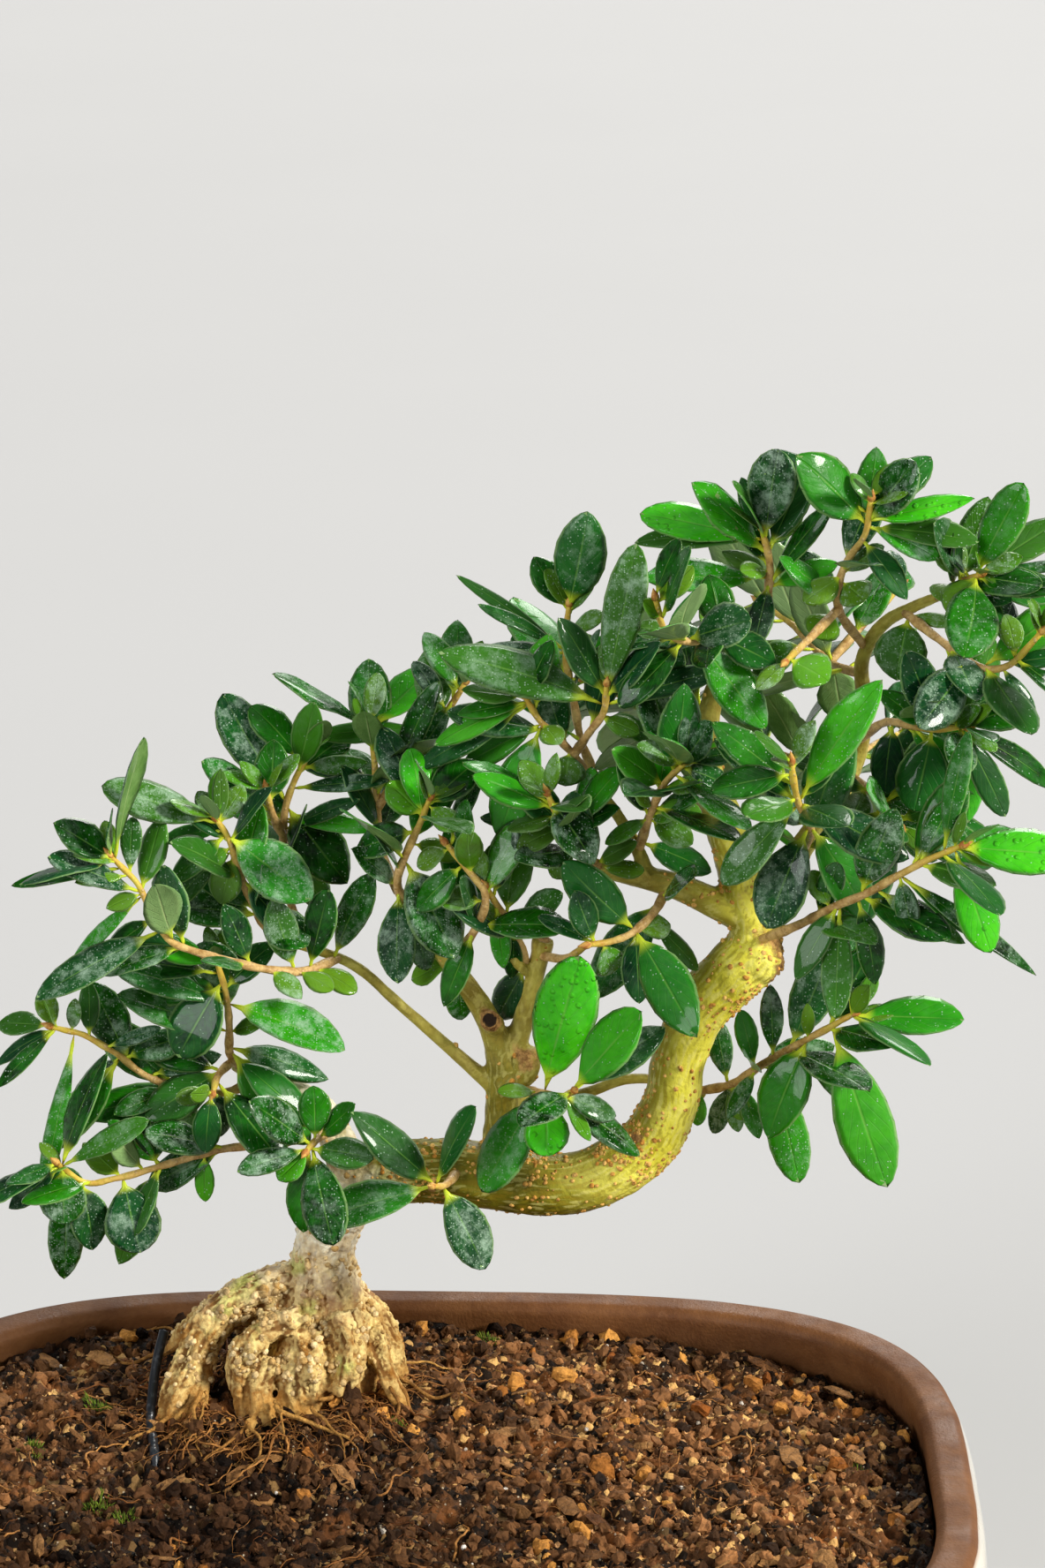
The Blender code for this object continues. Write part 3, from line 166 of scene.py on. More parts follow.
# The root flare: each root runs to where it goes under the soil
ROOTS = {
    "root_ridge": (8, [(73, 290, 42, 6), (63, 291, 41, 4.6), (54, 294.5, 39, 4.4), (47.5, 300, 36, 4.2),
        (43, 309, 31, 3.5), (39.5, 317, 26, 3), (38, 326, 21, 2.2)]),
    "root_ridge_fork": (6, [(50, 299, 37, 3.6), (45, 308, 33, 2.5), (41.5, 317, 28, 2.2), (40.5, 326, 23, 1.6)]),
    "root_thin": (6, [(48, 303, 35, 2.2), (46, 312, 31, 1.5), (45, 320, 26, 1.3), (45, 328, 22, 1.1)]),
    "root_back_left": (6, [(60, 295, 46, 4.6), (50, 299, 50, 3.8), (43, 303, 54, 3), (38, 309, 58, 2)]),
    "root_brow": (6, [(68, 299, 33, 3.4), (61, 301, 31, 2.9), (57, 304.5, 29, 2.7), (54.5, 309, 28, 2.6),
        (55, 316, 27, 2), (57, 326, 22, 1.4)]),
    "root_bulge": (8, [(70, 303, 36, 7), (69, 309, 32, 7.2), (69.5, 315, 29, 5.2), (70, 322, 27, 3)]),
    "root_middle": (6, [(62, 308, 30, 3.6), (59, 316, 26, 2.5), (61.5, 322, 22, 2), (63.5, 328, 19, 1.6)]),
    "root_loop": (6, [(59.5, 318, 24, 1.6), (57.5, 323, 21, 1.8), (56, 328, 18, 1.7), (56, 333, 15, 1.4)]),
    "root_front": (6, [(66, 314, 28, 3.4), (68.5, 320, 25, 2.8), (71.5, 325, 22, 2), (72.5, 331, 19, 1.4)]),
    "root_stub": (6, [(77, 298, 34, 5), (79.3, 305, 31, 3.8), (79, 311, 29, 3.4), (77, 316, 27.5, 3)]),
    "root_right": (6, [(79, 296, 42, 5.4), (84.5, 300, 42, 4.6), (87.5, 306, 41, 4), (90, 313, 40, 2.8)]),
    "root_right_thin": (6, [(84, 301, 38, 3), (86.5, 308, 35, 2.2), (89, 314, 32, 1.6), (92, 320, 29, 1.1)]),
    "root_back": (6, [(75, 297, 48, 6), (78, 299, 58, 4.6), (80, 303, 68, 2.8)]),
}

# Leafy sprays: twigs, drawn leaves, and the count of all leaves where that isn't SPRAY_LEAVES. Each twig
# is drawing points with a depth; its first point lies inside what carries it. Each drawn leaf is its
# root, its tip, its breadth, and how much nearer than its root the tip comes.
SPRAYS = {
    "low_left": ([[(73, 253, 41), (66, 258.5, 37), (58, 259.5, 35), (50, 260.3, 34), (42, 262.5, 33), (34, 264.8, 32),
        (26, 267, 31), (19, 268, 30), (13, 263.5, 28)]],
        [(27, 266.5, 19, 258.5, 6.5, -3), (35.5, 264, 33.5, 250, 9, -4), (28, 267.3, 32, 284, 12, 4),
        (36, 265.5, 26, 287, 8.5, -2), (46.5, 262, 46.5, 272.5, 4.2, 1), (13, 263, 1.5, 273.5, 5.5, 2),
        (14, 263.5, 14.5, 277.5, 9.8, 5), (19, 267.5, 21.5, 283.5, 8.5, 0), (15, 265.5, 14.5, 291, 7.5, -2),
        (14, 264, 33, 253.5, 6, 5)]),
    "left_mid": ([[(59, 244.5, 43), (51, 247.5, 41), (45, 247, 40), (39, 246, 39), (32, 243, 38), (26, 238.5, 37),
        (19, 234.5, 36), (11.5, 232.5, 35)]],
        [(46, 245.3, 17, 252, 8.5, 8), (27, 240, 10, 261, 8.5, 3), (16, 236, 8.5, 271, 4.5, 2),
        (12, 233, -2, 241, 4.5, -2), (12, 234, -1, 246, 4, 3), (12, 232.5, 9, 224.5, 5, 0),
        (16, 234, 17, 226.5, 3.2, 3), (20, 234.5, 20, 222, 4.5, -3), (24, 237, 36, 232.5, 3.8, 3),
        (28, 240, 42, 234, 7.5, -4), (34, 244, 50, 238.5, 6.5, -2), (41, 246, 41, 258.5, 8.5, -4),
        (27, 240, 20, 246, 5, -5)]),
    "left_upright": ([[(54.3, 241.5, 43.8), (52, 238.5, 39), (52, 233, 36), (51.3, 226, 35), (49, 217, 34)],
        [(53, 240, 40), (49.5, 243.5, 37), (48, 247.5, 35)]],
        [(50.5, 222, 40, 239.5, 11.5, 5), (51.5, 226, 78.5, 237, 10.5, 3), (52, 236, 75, 244, 7, -4),
        (52, 237, 71, 259, 12, 2), (49, 244.5, 66, 265, 9.5, 4), (48.5, 246, 50, 258, 6.5, -2),
        (50, 221, 22, 216, 8.5, -3), (49, 218.5, 34, 212, 7, 3), (51, 225, 26, 221, 11.5, 2),
        (49, 243, 33, 237, 7, -4), (49, 217.5, 53, 209, 5, -3), (51, 224, 62, 213, 7, -3)]),
    "left_top": ([[(67.5, 214, 36), (61, 211, 33), (57.5, 205, 32), (54.5, 198, 31), (52, 190.5, 31),
        (49, 185.5, 31)]],
        [(49, 186.5, 23.5, 177, 10, 3), (52, 189, 71, 203.5, 12.5, 5), (52, 191, 44.5, 196.5, 5, 3),
        (53, 193.5, 50, 205, 7, 2), (52, 192, 36.5, 207, 5.5, -2), (58, 208, 34, 204, 12, 5),
        (49, 186, 50, 174, 3.5, -3), (51, 188, 36, 190, 5, -4), (59, 207.5, 70, 214, 10, 4), (56, 202, 70, 199, 8, 4),
        (49, 186, 56, 176, 6, -2)]),
    "left_far": ([[(77, 217, 36.4), (69, 220, 32), (60, 219.5, 29), (51, 217.5, 27), (44, 215.5, 26.5),
        (38, 212.5, 26), (33.5, 205, 26), (30.5, 199.5, 26), (25, 194, 26)]],
        [(25, 194.5, 12.5, 186, 8.5, 2), (27.5, 197, 2, 200, 4, -2), (29.5, 198.5, 30, 185, 4.5, -3),
        (32, 202.5, 24, 205.5, 4.5, 3), (32, 203, 14, 219, 4.2, -3), (36, 211, 7.5, 225.5, 8.5, 4),
        (35, 208, 23, 216, 6, -3), (44, 215, 30, 213, 7, -4), (29.5, 198, 17, 199.5, 3.5, 5)]),
    "left_tall": ([[(70, 215, 36), (66, 205, 39), (64.5, 195, 41), (64.5, 184, 42), (67, 176, 43), (71.5, 168.5, 44)],
        [(64.6, 190, 41.5), (61.5, 184, 39), (60.5, 179, 38)]],
        [(64.5, 182, 50.5, 157, 10, -3), (61, 182, 62, 165, 9, 4), (69, 173, 57, 159.5, 8, -4),
        (64.5, 184, 79, 200, 12, 4), (66, 178.5, 88, 176, 4.5, 2), (68.5, 174, 86, 172, 6, -3),
        (64.5, 186, 78, 190, 8, -3), (64.6, 192, 75, 206, 8, -4), (66, 205, 56, 200, 7, -3)]),
    "mid_left": ([[(92.5, 206, 36), (90, 200, 34), (92, 193.5, 33), (95, 187, 33), (97.5, 181, 33)]],
        [(92, 194, 104, 217, 12.5, 5), (95, 187, 80, 192, 9, -4), (97, 183, 108, 172, 9, -5),
        (90.5, 201, 90, 223, 8, 4), (90, 200, 80, 214, 8.5, -2), (96, 185, 88, 177, 8, -2),
        (93, 191, 104, 194, 6, -4), (97.3, 182, 104, 188, 6, 3)]),
    "mid_low": ([[(102, 218.5, 37), (108, 210, 33), (110, 203, 31), (106, 197, 31), (101, 191, 32)],
        [(119.5, 220, 39), (117, 211.5, 36), (113, 205.5, 34), (110, 201, 31.5)]],
        [(116, 210.5, 127, 202, 7, 2), (105, 196, 94, 206, 7, -4), (110, 203.5, 96, 203, 8, 4),
        (108, 210, 112, 224, 8.5, 3), (115, 209, 106, 205, 7, 3), (111, 203, 114, 190, 6, -3),
        (107, 198, 106, 188, 6, 3), (102, 192, 93, 197, 6, -3), (107, 211, 100, 228, 6, 3),
        (117, 211, 116, 222, 4, -3)]),
    "mid_back": ([[(90, 202, 37), (87, 194, 42), (85.5, 184, 45), (85, 174, 46), (84, 164, 46)], [(85.5, 183, 45),
        (93, 172, 47), (100, 163, 48), (105.5, 154.5, 48)]],
        [(88, 177, 98.5, 154.5, 6, 3), (85.5, 177, 67, 171, 6.5, -3), (85, 176, 95, 180, 6, -2),
        (84.5, 168, 82, 160, 2.6, 2), (84.5, 168, 90, 168, 4.5, 4), (98, 165, 71, 166, 5.5, 5),
        (101, 161, 94, 149.5, 5, -3), (104, 156.5, 96.5, 143, 6, -3), (103, 158, 92, 175, 6.5, 4),
        (95, 169, 86, 187, 8, -4), (105, 155, 109, 145, 5, -2)]),
    "mid_top": ([[(133, 176, 42.6), (130, 171, 40.5), (126, 167, 39), (122, 163, 38), (119, 158, 37)],
        [(130, 171, 40.5), (133.5, 166, 38.5), (137, 161, 37), (137.5, 155, 36)]],
        [(137, 160.5, 100, 147, 11, 4), (137.2, 159, 144, 124, 8.5, 5), (137, 160, 164, 151, 6.5, 4),
        (136, 163, 145, 166, 5, 2), (120.5, 164, 111, 194.5, 11.5, 6), (119, 160, 98, 168, 6, 3),
        (121, 164.5, 127, 168.5, 5.5, 5), (120, 160, 93, 174, 6.5, -2), (119, 159, 125, 148, 6, -4),
        (127, 171, 128, 178, 8, 4), (136, 162, 152, 168, 7, -4), (122, 165, 104, 173, 7, -4)]),
    "mid_crown": ([[(138.5, 182.7, 40.5), (135, 176, 46), (131.5, 167, 49), (129.5, 156, 50), (128, 146, 50),
        (129, 137, 50)]],
        [(129, 138, 133, 116.5, 11, 4), (129, 138, 121, 126, 7, -3), (128.5, 140, 134, 126, 5, -4),
        (128, 146, 104, 129.5, 3.5, -2), (128, 146, 109, 136.5, 3.5, 3), (128.5, 148, 109, 146, 5, 4),
        (129, 151, 140, 144, 6, -2), (128, 143, 137, 139, 5, 4), (129.5, 156, 118, 148, 6, -3)]),
    "elbow_left": ([[(136.5, 197, 36.5), (131, 192, 33), (127, 186, 31), (124, 180, 30)]],
        [(125, 181, 135, 195.5, 9.5, 5), (128, 188, 117, 192, 6, 2), (129, 190, 125, 199, 6, -2),
        (125, 182, 118, 172, 6, -3)]),
    "elbow_up": ([[(144.6, 193, 38.8), (147.5, 184, 36), (151, 177, 34), (155.5, 172.5, 33)]],
        [(150, 178.5, 139, 169.5, 8, 3), (155, 173, 161, 163.5, 8, 4), (148, 183, 144, 179, 4.5, 4),
        (147, 185, 137, 191, 4, 3), (147.5, 185, 154, 184, 5, 4), (154, 174, 166, 178, 6, -3)]),
    "elbow_low": ([[(151, 201.5, 39.5), (148, 207, 34), (143, 211.5, 31), (138, 213.5, 30), (133.5, 214, 29)],
        [(122.5, 216.5, 39.5), (128, 217, 34), (133.5, 214, 30)]],
        [(144, 211, 145, 227.5, 7, 4), (143, 211.5, 152, 209, 7, -3), (133.5, 214, 130.5, 202, 6.5, 3),
        (138, 213.5, 139, 221, 7, -3), (148, 207, 137, 208, 5, 4), (147, 208, 156, 217, 5, 3),
        (134, 214, 122, 207, 4, -3)]),
    "arch_front": ([[(118, 247, 39), (122.5, 247.5, 32), (127, 248.5, 28), (130, 247, 25)]],
        [(124, 247.6, 131, 217.5, 13.5, 7), (129, 247.5, 144.5, 229, 11.5, 5), (123, 248, 124, 262, 9.5, 6),
        (121, 247, 113, 247, 4, 5), (121, 247.5, 108.5, 270, 10.5, 3), (128.5, 248, 134, 258.5, 3.2, 2)], 9),
    "arch_drop": ([[(104, 265, 36), (101, 268.3, 30), (98, 268.7, 27.5)]],
        [(99.5, 268.5, 80.5, 251.5, 9.5, 4), (100.5, 268.3, 110.5, 287.5, 10, 3)], 4),
    "bend_front": ([[(75, 256, 38), (72, 258, 31), (69.5, 261, 28)]],
        [(69.5, 260.5, 68, 283, 9, 3), (70.5, 260, 84.5, 262, 8, 4), (70, 260, 61.5, 268.5, 7.5, 3),
        (71.5, 258.5, 71, 246, 7, -2), (70, 260, 54, 265, 6, -3), (72, 258.5, 80, 250, 6, 4)]),
    "right_low": ([[(157.5, 247.3, 54.3), (166, 245.5, 50), (173, 241, 47), (182, 236, 44), (189.5, 232, 41),
        (194, 229.5, 40)]],
        [(193.5, 229.8, 218.5, 230, 10, 2), (189, 232.3, 201.5, 269.5, 12.5, 4), (182, 236, 173.5, 258, 11, 4),
        (182, 236.3, 192, 250, 3.5, 2), (174, 241, 181.5, 268.5, 9, -2), (173, 241, 175.5, 223.5, 5.5, 3),
        (183.5, 235.3, 183, 227.5, 3, 3), (166.5, 245.3, 168, 254, 5, 2), (188, 232.8, 190.5, 222, 4.5, -2),
        (165, 245.5, 162, 230, 5.5, -3), (167, 245, 161, 257, 5, -3)]),
    "elbow_right": ([[(172, 213, 38), (181, 209.5, 30), (189, 205.5, 25), (197, 202, 22), (205, 197.5, 20),
        (212, 194, 19), (218, 191.5, 18)]],
        [(217.5, 191.5, 243, 193, 11, 3), (216, 192.2, 225, 216, 8.5, 4), (214, 193, 219, 166, 5, 5),
        (203.5, 198.5, 236, 220, 4.5, 2), (205, 197.7, 207, 211.5, 5, 3), (206, 197, 218, 176, 8.5, -3),
        (189, 205.5, 180, 222, 6, 4), (191, 204.5, 189.5, 231, 6.5, 5), (193, 203.7, 199, 223.5, 6, -2),
        (204.5, 198, 222, 212, 4, -3), (188, 206, 184, 197, 5, -3)]),
    "centre_rosette": ([[(176.5, 200.5, 48.5), (182.5, 192, 38), (183.5, 186.5, 31), (180.5, 181, 27),
        (179.5, 173, 25)]],
        [(182, 183.5, 160, 203.5, 9.5, 2), (183.5, 187, 173.5, 210.5, 11, 5), (183.6, 188, 199.5, 211.5, 12.5, 4),
        (181.5, 182.3, 206.5, 194, 10, 3), (180, 176, 161, 178.5, 8, 3), (180.2, 177.5, 161.5, 163, 8, -3),
        (180.8, 181, 199, 154, 9.5, 4), (181, 181.5, 190, 168, 6, -3)]),
    "right_mid": ([[(195, 167.5, 58.5), (201, 163.5, 50), (209, 165, 45), (219, 164.8, 42)]],
        [(212, 165, 207, 184, 11, 5), (219, 165, 228.5, 185, 6.5, 3), (219, 164.7, 233, 159.5, 8, -2),
        (204, 164, 200.5, 180, 7, 5), (217, 165, 220, 187, 6.5, -3), (210, 165, 199, 156, 6, -3),
        (213, 165, 206, 148, 8.5, 5), (215, 165, 222, 160, 5, 4), (219.5, 164.5, 240, 178, 6, -3)]),
    "right_hang": ([[(192.3, 175.5, 60), (198, 180, 50), (204, 187, 44)]],
        [(201, 183, 213, 195, 8, -2), (203, 186, 190, 197, 6, -3)], 12),
    "crown_left": ([[(168.5, 146, 42.6), (163, 143, 38), (157, 145.5, 35), (151, 143, 34), (148.5, 135.5, 33)]],
        [(150, 139.5, 146, 136, 4.5, 3), (157, 145.5, 170, 140, 11, 3), (152, 143.5, 142, 141, 6, -3),
        (160, 143.5, 176, 150, 9, 4), (149, 137, 157, 128, 6, -3), (155, 145, 140, 160, 7, 4),
        (163, 143, 161, 130, 8, -3), (151, 143, 153, 156, 6, -2), (158, 145, 174, 165, 10, 2)]),
    "crown_top": ([[(174, 134.5, 44), (174.5, 128, 44), (172.8, 120, 44)]],
        [(173.5, 122.5, 145, 115.5, 9.5, -2), (173.4, 122, 143.5, 121.5, 6.5, 4), (173.5, 122.5, 176, 102, 10, 3),
        (174, 124, 182, 115, 4.5, -3), (174.5, 131, 146, 130, 8.5, 4), (175, 133, 187.5, 114.5, 5, 4),
        (174.5, 129, 168, 129, 5, 5), (175, 133.5, 190, 127, 6, -3), (174.5, 131.5, 162, 123, 7, -4),
        (173, 121, 168, 108, 5, -4), (174.8, 132, 170, 149, 6.5, 5)]),
    "crown_mid": ([[(196, 146.5, 55.5), (190, 138, 50), (191, 129, 47), (196, 121, 45), (197.5, 113, 44)],
        [(190, 138, 50), (183, 145, 43), (178, 150, 38)]],
        [(196.5, 119, 181, 103, 12, 4), (197.5, 117, 175, 101, 5.5, -3), (197.5, 118.5, 207, 104.5, 9.5, 4),
        (197.8, 116, 211, 103, 8, -2), (197.5, 118, 220.5, 112, 6, 3), (195.5, 122, 206, 135.5, 6, 4),
        (191, 130, 200, 123.5, 5, 3), (191, 131, 182, 136, 7, 4), (189, 139, 184, 144, 8, 5),
        (190.5, 133, 196, 136, 8, 4), (180, 148, 188, 154, 10, 4), (190, 136, 180, 124, 7, -4),
        (196.5, 120, 222, 122, 7, 2), (181, 147.5, 170, 152, 8, -3)]),
    "crown_right": ([[(212.5, 135.2, 50.3), (218, 131.8, 46), (222, 130, 43.5)]],
        [(220.5, 130.8, 231.5, 109.5, 9, 3), (221, 130.8, 215, 139, 9, 5), (220.5, 131, 240, 138, 6, -3),
        (221.5, 130.4, 244, 127, 3, 2), (219, 131.5, 213, 121, 7, -3), (221, 130.5, 229, 136, 5, -4)], 12),
    "crown_far": ([[(205, 138.7, 52.2), (213, 145, 46), (222, 151, 42), (229, 150.5, 40), (236, 143, 38)]],
        [(207.5, 140, 203, 154, 11, 6), (214, 144.3, 222, 164, 8, 4), (216, 146, 217.5, 163, 7, -2),
        (229, 150.5, 242, 148, 5, 3), (226, 151, 235, 162, 3.5, 3), (235.5, 143.5, 241, 136, 5, 3),
        (231, 149, 228, 139, 5, -3), (207, 138.5, 217, 141, 4, 5)]),
    "back_low": ([[(191, 178, 60), (188, 176, 69), (181, 172, 76), (173, 170, 81)], [(188, 176.2, 69), (196, 170, 76),
        (204, 166, 81)]],
        [], 17),
    "back_top": ([[(196, 153, 57), (188, 150, 66), (180, 142, 73), (172, 136, 78)], [(188, 150, 66), (196, 141, 73),
        (204, 133, 77)]],
        [], 17),
    "back_left": ([[(161, 161, 39.3), (152, 162, 49), (142, 158, 57), (132, 154, 63)], [(152, 162, 49),
        (156, 152, 57), (160, 143, 63)]],
        [], 17),
}

# The end of the tie wire that stands out of the soil, as drawing points with a depth
TIE_WIRE = [(37.2, 301.5, 41), (35.8, 307, 37), (34.8, 313, 33), (34.2, 320, 26), (34.2, 326, 20), (34.8, 332, 15)]
TIE_WIRE_RADIUS = 1.1

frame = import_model()
cad_bounds = [list(corner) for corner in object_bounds()]
pot_low, pot_high = (np.array(corner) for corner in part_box("pot"))
ORIGIN = np.array(((pot_low[0] + pot_high[0]) / 2, (pot_low[1] + pot_high[1]) / 2, pot_low[2])) / MM
BOX_LOW, BOX_HIGH = (np.array(corner) / MM - ORIGIN for corner in cad_bounds)


# Points, routes and noise

def view_axes():
    """The eye's forward, right and up directions: tilted down by PITCH and turned by TURN."""
    forward = np.array((math.sin(TURN) * math.cos(PITCH), math.cos(TURN) * math.cos(PITCH), -math.sin(PITCH)))
    right = np.array((math.cos(TURN), -math.sin(TURN), 0.0))
    return forward, right, np.cross(right, forward)


def drawn(points):
    """Points of the drawing moved into space: along each line of sight to where y is the depth."""
    points = np.atleast_2d(np.array(points, dtype=float))
    forward, right, up = view_axes()
    steps = (points[:, :2] - SHEET_MIDDLE) / SHEET_DISTANCE
    lines = forward + steps[:, :1] * right - steps[:, 1:] * up
    return EYE + lines * ((points[:, 2:3] - EYE[1]) / lines[:, 1:2])


def smooth_route(rows, steps):
    """A curve through the rows (Catmull-Rom), with this many steps between neighbours."""
    rows = np.array(rows, dtype=float)
    padded = np.vstack([2 * rows[0] - rows[1], rows, 2 * rows[-1] - rows[-2]])
    a, b, c, d = (padded[start:start + len(rows) - 1, None] for start in range(4))
    t = (np.arange(steps) / steps)[None, :, None]
    curve = 0.5 * (2 * b + (c - a) * t + (2 * a - 5 * b + 4 * c - d) * t ** 2
                   + (3 * b - a - 3 * c + d) * t ** 3)
    return np.vstack([curve.reshape(-1, rows.shape[1]), rows[-1]])


def joined(*parts):
    """Coordinates made into points: spread over each other's shapes and stacked on a last axis."""
    return np.stack(np.broadcast_arrays(*parts), axis=-1)


def round_angles(count, start=0.0):
    """This many angles spread evenly over a full turn."""
    return (np.arange(count) + start) / count * math.tau


def unit(vectors):
    return vectors / np.maximum(np.linalg.norm(vectors, axis=-1, keepdims=True), 1e-9)


def noise(points, size, seed, waves=14):
    """Smooth noise from about -1 to 1: a sum of plane waves with random directions, about size mm long."""
    rng = np.random.default_rng(seed)
    directions = unit(rng.normal(size=(waves, 3))) * rng.uniform(0.6, 1.5, (waves, 1)) * math.tau / size
    phases = rng.uniform(0, math.tau, waves)
    return np.sin(points @ directions.T + phases).sum(axis=-1) * math.sqrt(2.0 / waves) * 0.6


def ease(values, low, high):
    """0 below low, 1 above high, and a smooth step between."""
    t = np.clip((values - low) / (high - low), 0.0, 1.0)
    return t * t * (3 - 2 * t)


# Meshes

PIECES = {}


def placed(name, data):
    """A new object of the scene with this mesh, light or camera."""
    thing = bpy.data.objects.new(name, data)
    bpy.context.scene.collection.objects.link(thing)
    return thing


def applied(thing):
    """An object's mesh with its modifiers applied, as a new mesh."""
    bpy.context.view_layer.update()
    return bpy.data.meshes.new_from_object(thing.evaluated_get(bpy.context.evaluated_depsgraph_get()))


def numbers_of(items, label, width, kind=float):
    """One property of a mesh's points or corners as rows of this many numbers."""
    data = np.empty(len(items) * width, dtype=kind)
    items.foreach_get(label, data)
    return data.reshape(-1, width)


def close_seams(mesh):
    """Joins points that lie in one place, so that poles and seams close, and turns every face outwards."""
    work = bmesh.new()
    work.from_mesh(mesh)
    bmesh.ops.remove_doubles(work, verts=work.verts, dist=SEAM * MM)
    bmesh.ops.recalc_face_normals(work, faces=work.faces)
    work.to_mesh(mesh)
    work.free()


def framed_mesh(name, points, faces):
    """A mesh from points in drawing millimetres, moved into the frame."""
    mesh = bpy.data.meshes.new(name)
    mesh.from_pydata(((points + ORIGIN) * MM).tolist(), [], faces.tolist())
    return mesh


def add_piece(name, points, faces, slot, node=None, uv=None, smooth=True, **values):
    """A piece from points in drawing millimetres: moved into the frame, given its attributes and kept in PIECES."""
    mesh = framed_mesh(name, points, faces)
    for label, data in values.items():
        attribute = mesh.attributes.new(label, "FLOAT", "POINT")
        attribute.data.foreach_set("value", np.asarray(data, dtype=np.float32))
    if uv is not None:
        corners = numbers_of(mesh.loops, "vertex_index", 1, np.int32)[:, 0]
        layer = mesh.uv_layers.new(name="surface")
        layer.data.foreach_set("uv", np.asarray(uv, dtype=np.float32)[corners].ravel())
    close_seams(mesh)
    if smooth:
        mesh.shade_smooth()
    else:
        mesh.shade_flat()
    piece = placed(name, mesh)
    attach(piece, "root")
    if node:
        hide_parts(node)
    PIECES[name] = piece
    return piece


def add_toned(name, shapes, slot, smooth=True):
    """A piece of several shapes, each its points, its faces and its points' tones."""
    points, faces, tone = stack(shapes)
    add_piece(name, points, faces, slot, smooth=smooth, tone=tone)


def grid_faces(rows, columns):
    """The quads of a grid of points whose last column joins its first."""
    row, column = np.meshgrid(np.arange(rows - 1), np.arange(columns), indexing="ij")
    here, beside = row * columns + column, row * columns + (column + 1) % columns
    return np.stack([here, beside, beside + columns, here + columns], axis=-1).reshape(-1, 4)


def grid(points):
    """A grid of points, with its rows closed, as a list of points and its quads."""
    return points.reshape(-1, 3), grid_faces(*points.shape[:2])


def repeated(faces, count, size):
    """The faces of this many copies of a shape, whose points are size in number."""
    return (faces[None] + (np.arange(count) * size)[:, None, None]).reshape(-1, faces.shape[1])


def frames_along(route):
    """The side and normal directions along a route, from the fixed direction it runs least along."""
    along = unit(np.gradient(route, axis=0))
    choices = unit(np.array([(1, 0, 0), (0, 1, 0), (0, 0, 1), (1, 1, 0), (1, -1, 0), (0, 1, 1), (1, 0, 1)], float))
    reference = choices[np.argmin(np.abs(along @ choices.T).max(axis=0))]
    side = unit(np.cross(along, reference))
    return side, np.cross(side, along)


def sweep(route, radii, sides):
    """A closed tube: rings of points round a route, with its two ends drawn in to a point.

    Gives the points, the quads, and how far along the route each point is, from 0 to 1.
    """
    route, side, normal = (np.vstack([rows[:1], rows, rows[-1:]]) for rows in (route, *frames_along(route)))
    radii = np.concatenate([[0.0], radii, [0.0]])
    turn = round_angles(sides)
    ring = np.cos(turn)[None, :, None] * side[:, None] + np.sin(turn)[None, :, None] * normal[:, None]
    return (*grid(route[:, None] + ring * radii[:, None, None]), np.repeat(np.linspace(0, 1, len(route)), sides))


def stack(shapes):
    """Several (points, faces, ...) shapes as one, with the faces counted on."""
    starts = np.cumsum([0] + [len(shape[0]) for shape in shapes[:-1]])
    faces = np.vstack([shape[1] + start for shape, start in zip(shapes, starts)])
    others = [np.concatenate([shape[index] for shape in shapes]) for index in range(2, len(shapes[0]))]
    return (np.vstack([shape[0] for shape in shapes]), faces, *others)


# The trunk, limbs and roots

# The size of the skin's facets, in millimetres, and the steps between the points of a limb and of a stub
WOOD_GRAIN = 0.567
ROUTE_STEPS = 6
STUB_STEPS = 3
STUB_SIDES = 14
# How many points are measured at a time
BLOCK = 4000
# Cut stubs and short spurs that stand on the wood: drawing points with a depth and a radius
STUBS = {
    "arch_cut": [(112.2, 232.6, 38, 2.5), (111.2, 231.4, 35.2, 2.3), (110.8, 231, 33.6, 2.1)],
    "fork_cut": [(122.6, 216, 40, 2.3), (123, 213.4, 39.6, 2.5), (123.2, 212.6, 39.5, 2.3)],
    "under_cut": [(99.5, 266, 36, 2.4), (98.3, 268.3, 32.6, 2.2), (98, 269, 31.2, 1.9)],
    "under_callus": [(101, 267.5, 34.5, 1.8), (106, 269.6, 33.5, 1.9), (112, 270.6, 34.5, 1.6)],
    "arch_scar": [(112.5, 246, 37.6, 2.6), (119, 243, 38, 3), (119.5, 237.5, 38.5, 2.6)],
    "leader_stub": [(148.6, 184, 38, 1.1), (148, 181.8, 37, 1)],
    "fork_spur": [(121, 221, 40, 1.4), (117.5, 218.5, 37.5, 1.2), (116.2, 216.8, 36.8, 1)],
}
# How rough the trunk is at each of its drawing points, from the soil up
TRUNK_ROUGH = (1, 1, 1, 1, 0.95, 0.85, 0.62, 0.42, 0.26, 0.16, 0.08, 0.04)
# Dark or corky patches on the wood: a drawing point with a depth, its reach, and how dark it is
PATCHES = [
    (139, 260, 34, 5, 0.5), (145, 258, 35, 4, 0.5), (174, 211, 36, 4.4, 0.5), (179, 216, 39, 5.4, 0.85),
    (177.5, 223, 38, 4.8, 0.7), (119, 240, 35, 4.8, 0.7), (110.9, 231, 33.4, 3.2, 1.25),
    (123.2, 212.7, 39.3, 1.9, 0.9), (98, 269, 31, 1.3, 0.8), (77, 262, 36, 5, 0.7), (83, 262, 34, 4, 0.5),
    (105, 262, 33.5, 3.5, 0.45), (108.5, 266, 33, 1.2, 1), (168, 203, 37, 4, 0.35), (164, 190, 36, 5, 0.3),
]
KNOB_COUNT = 60
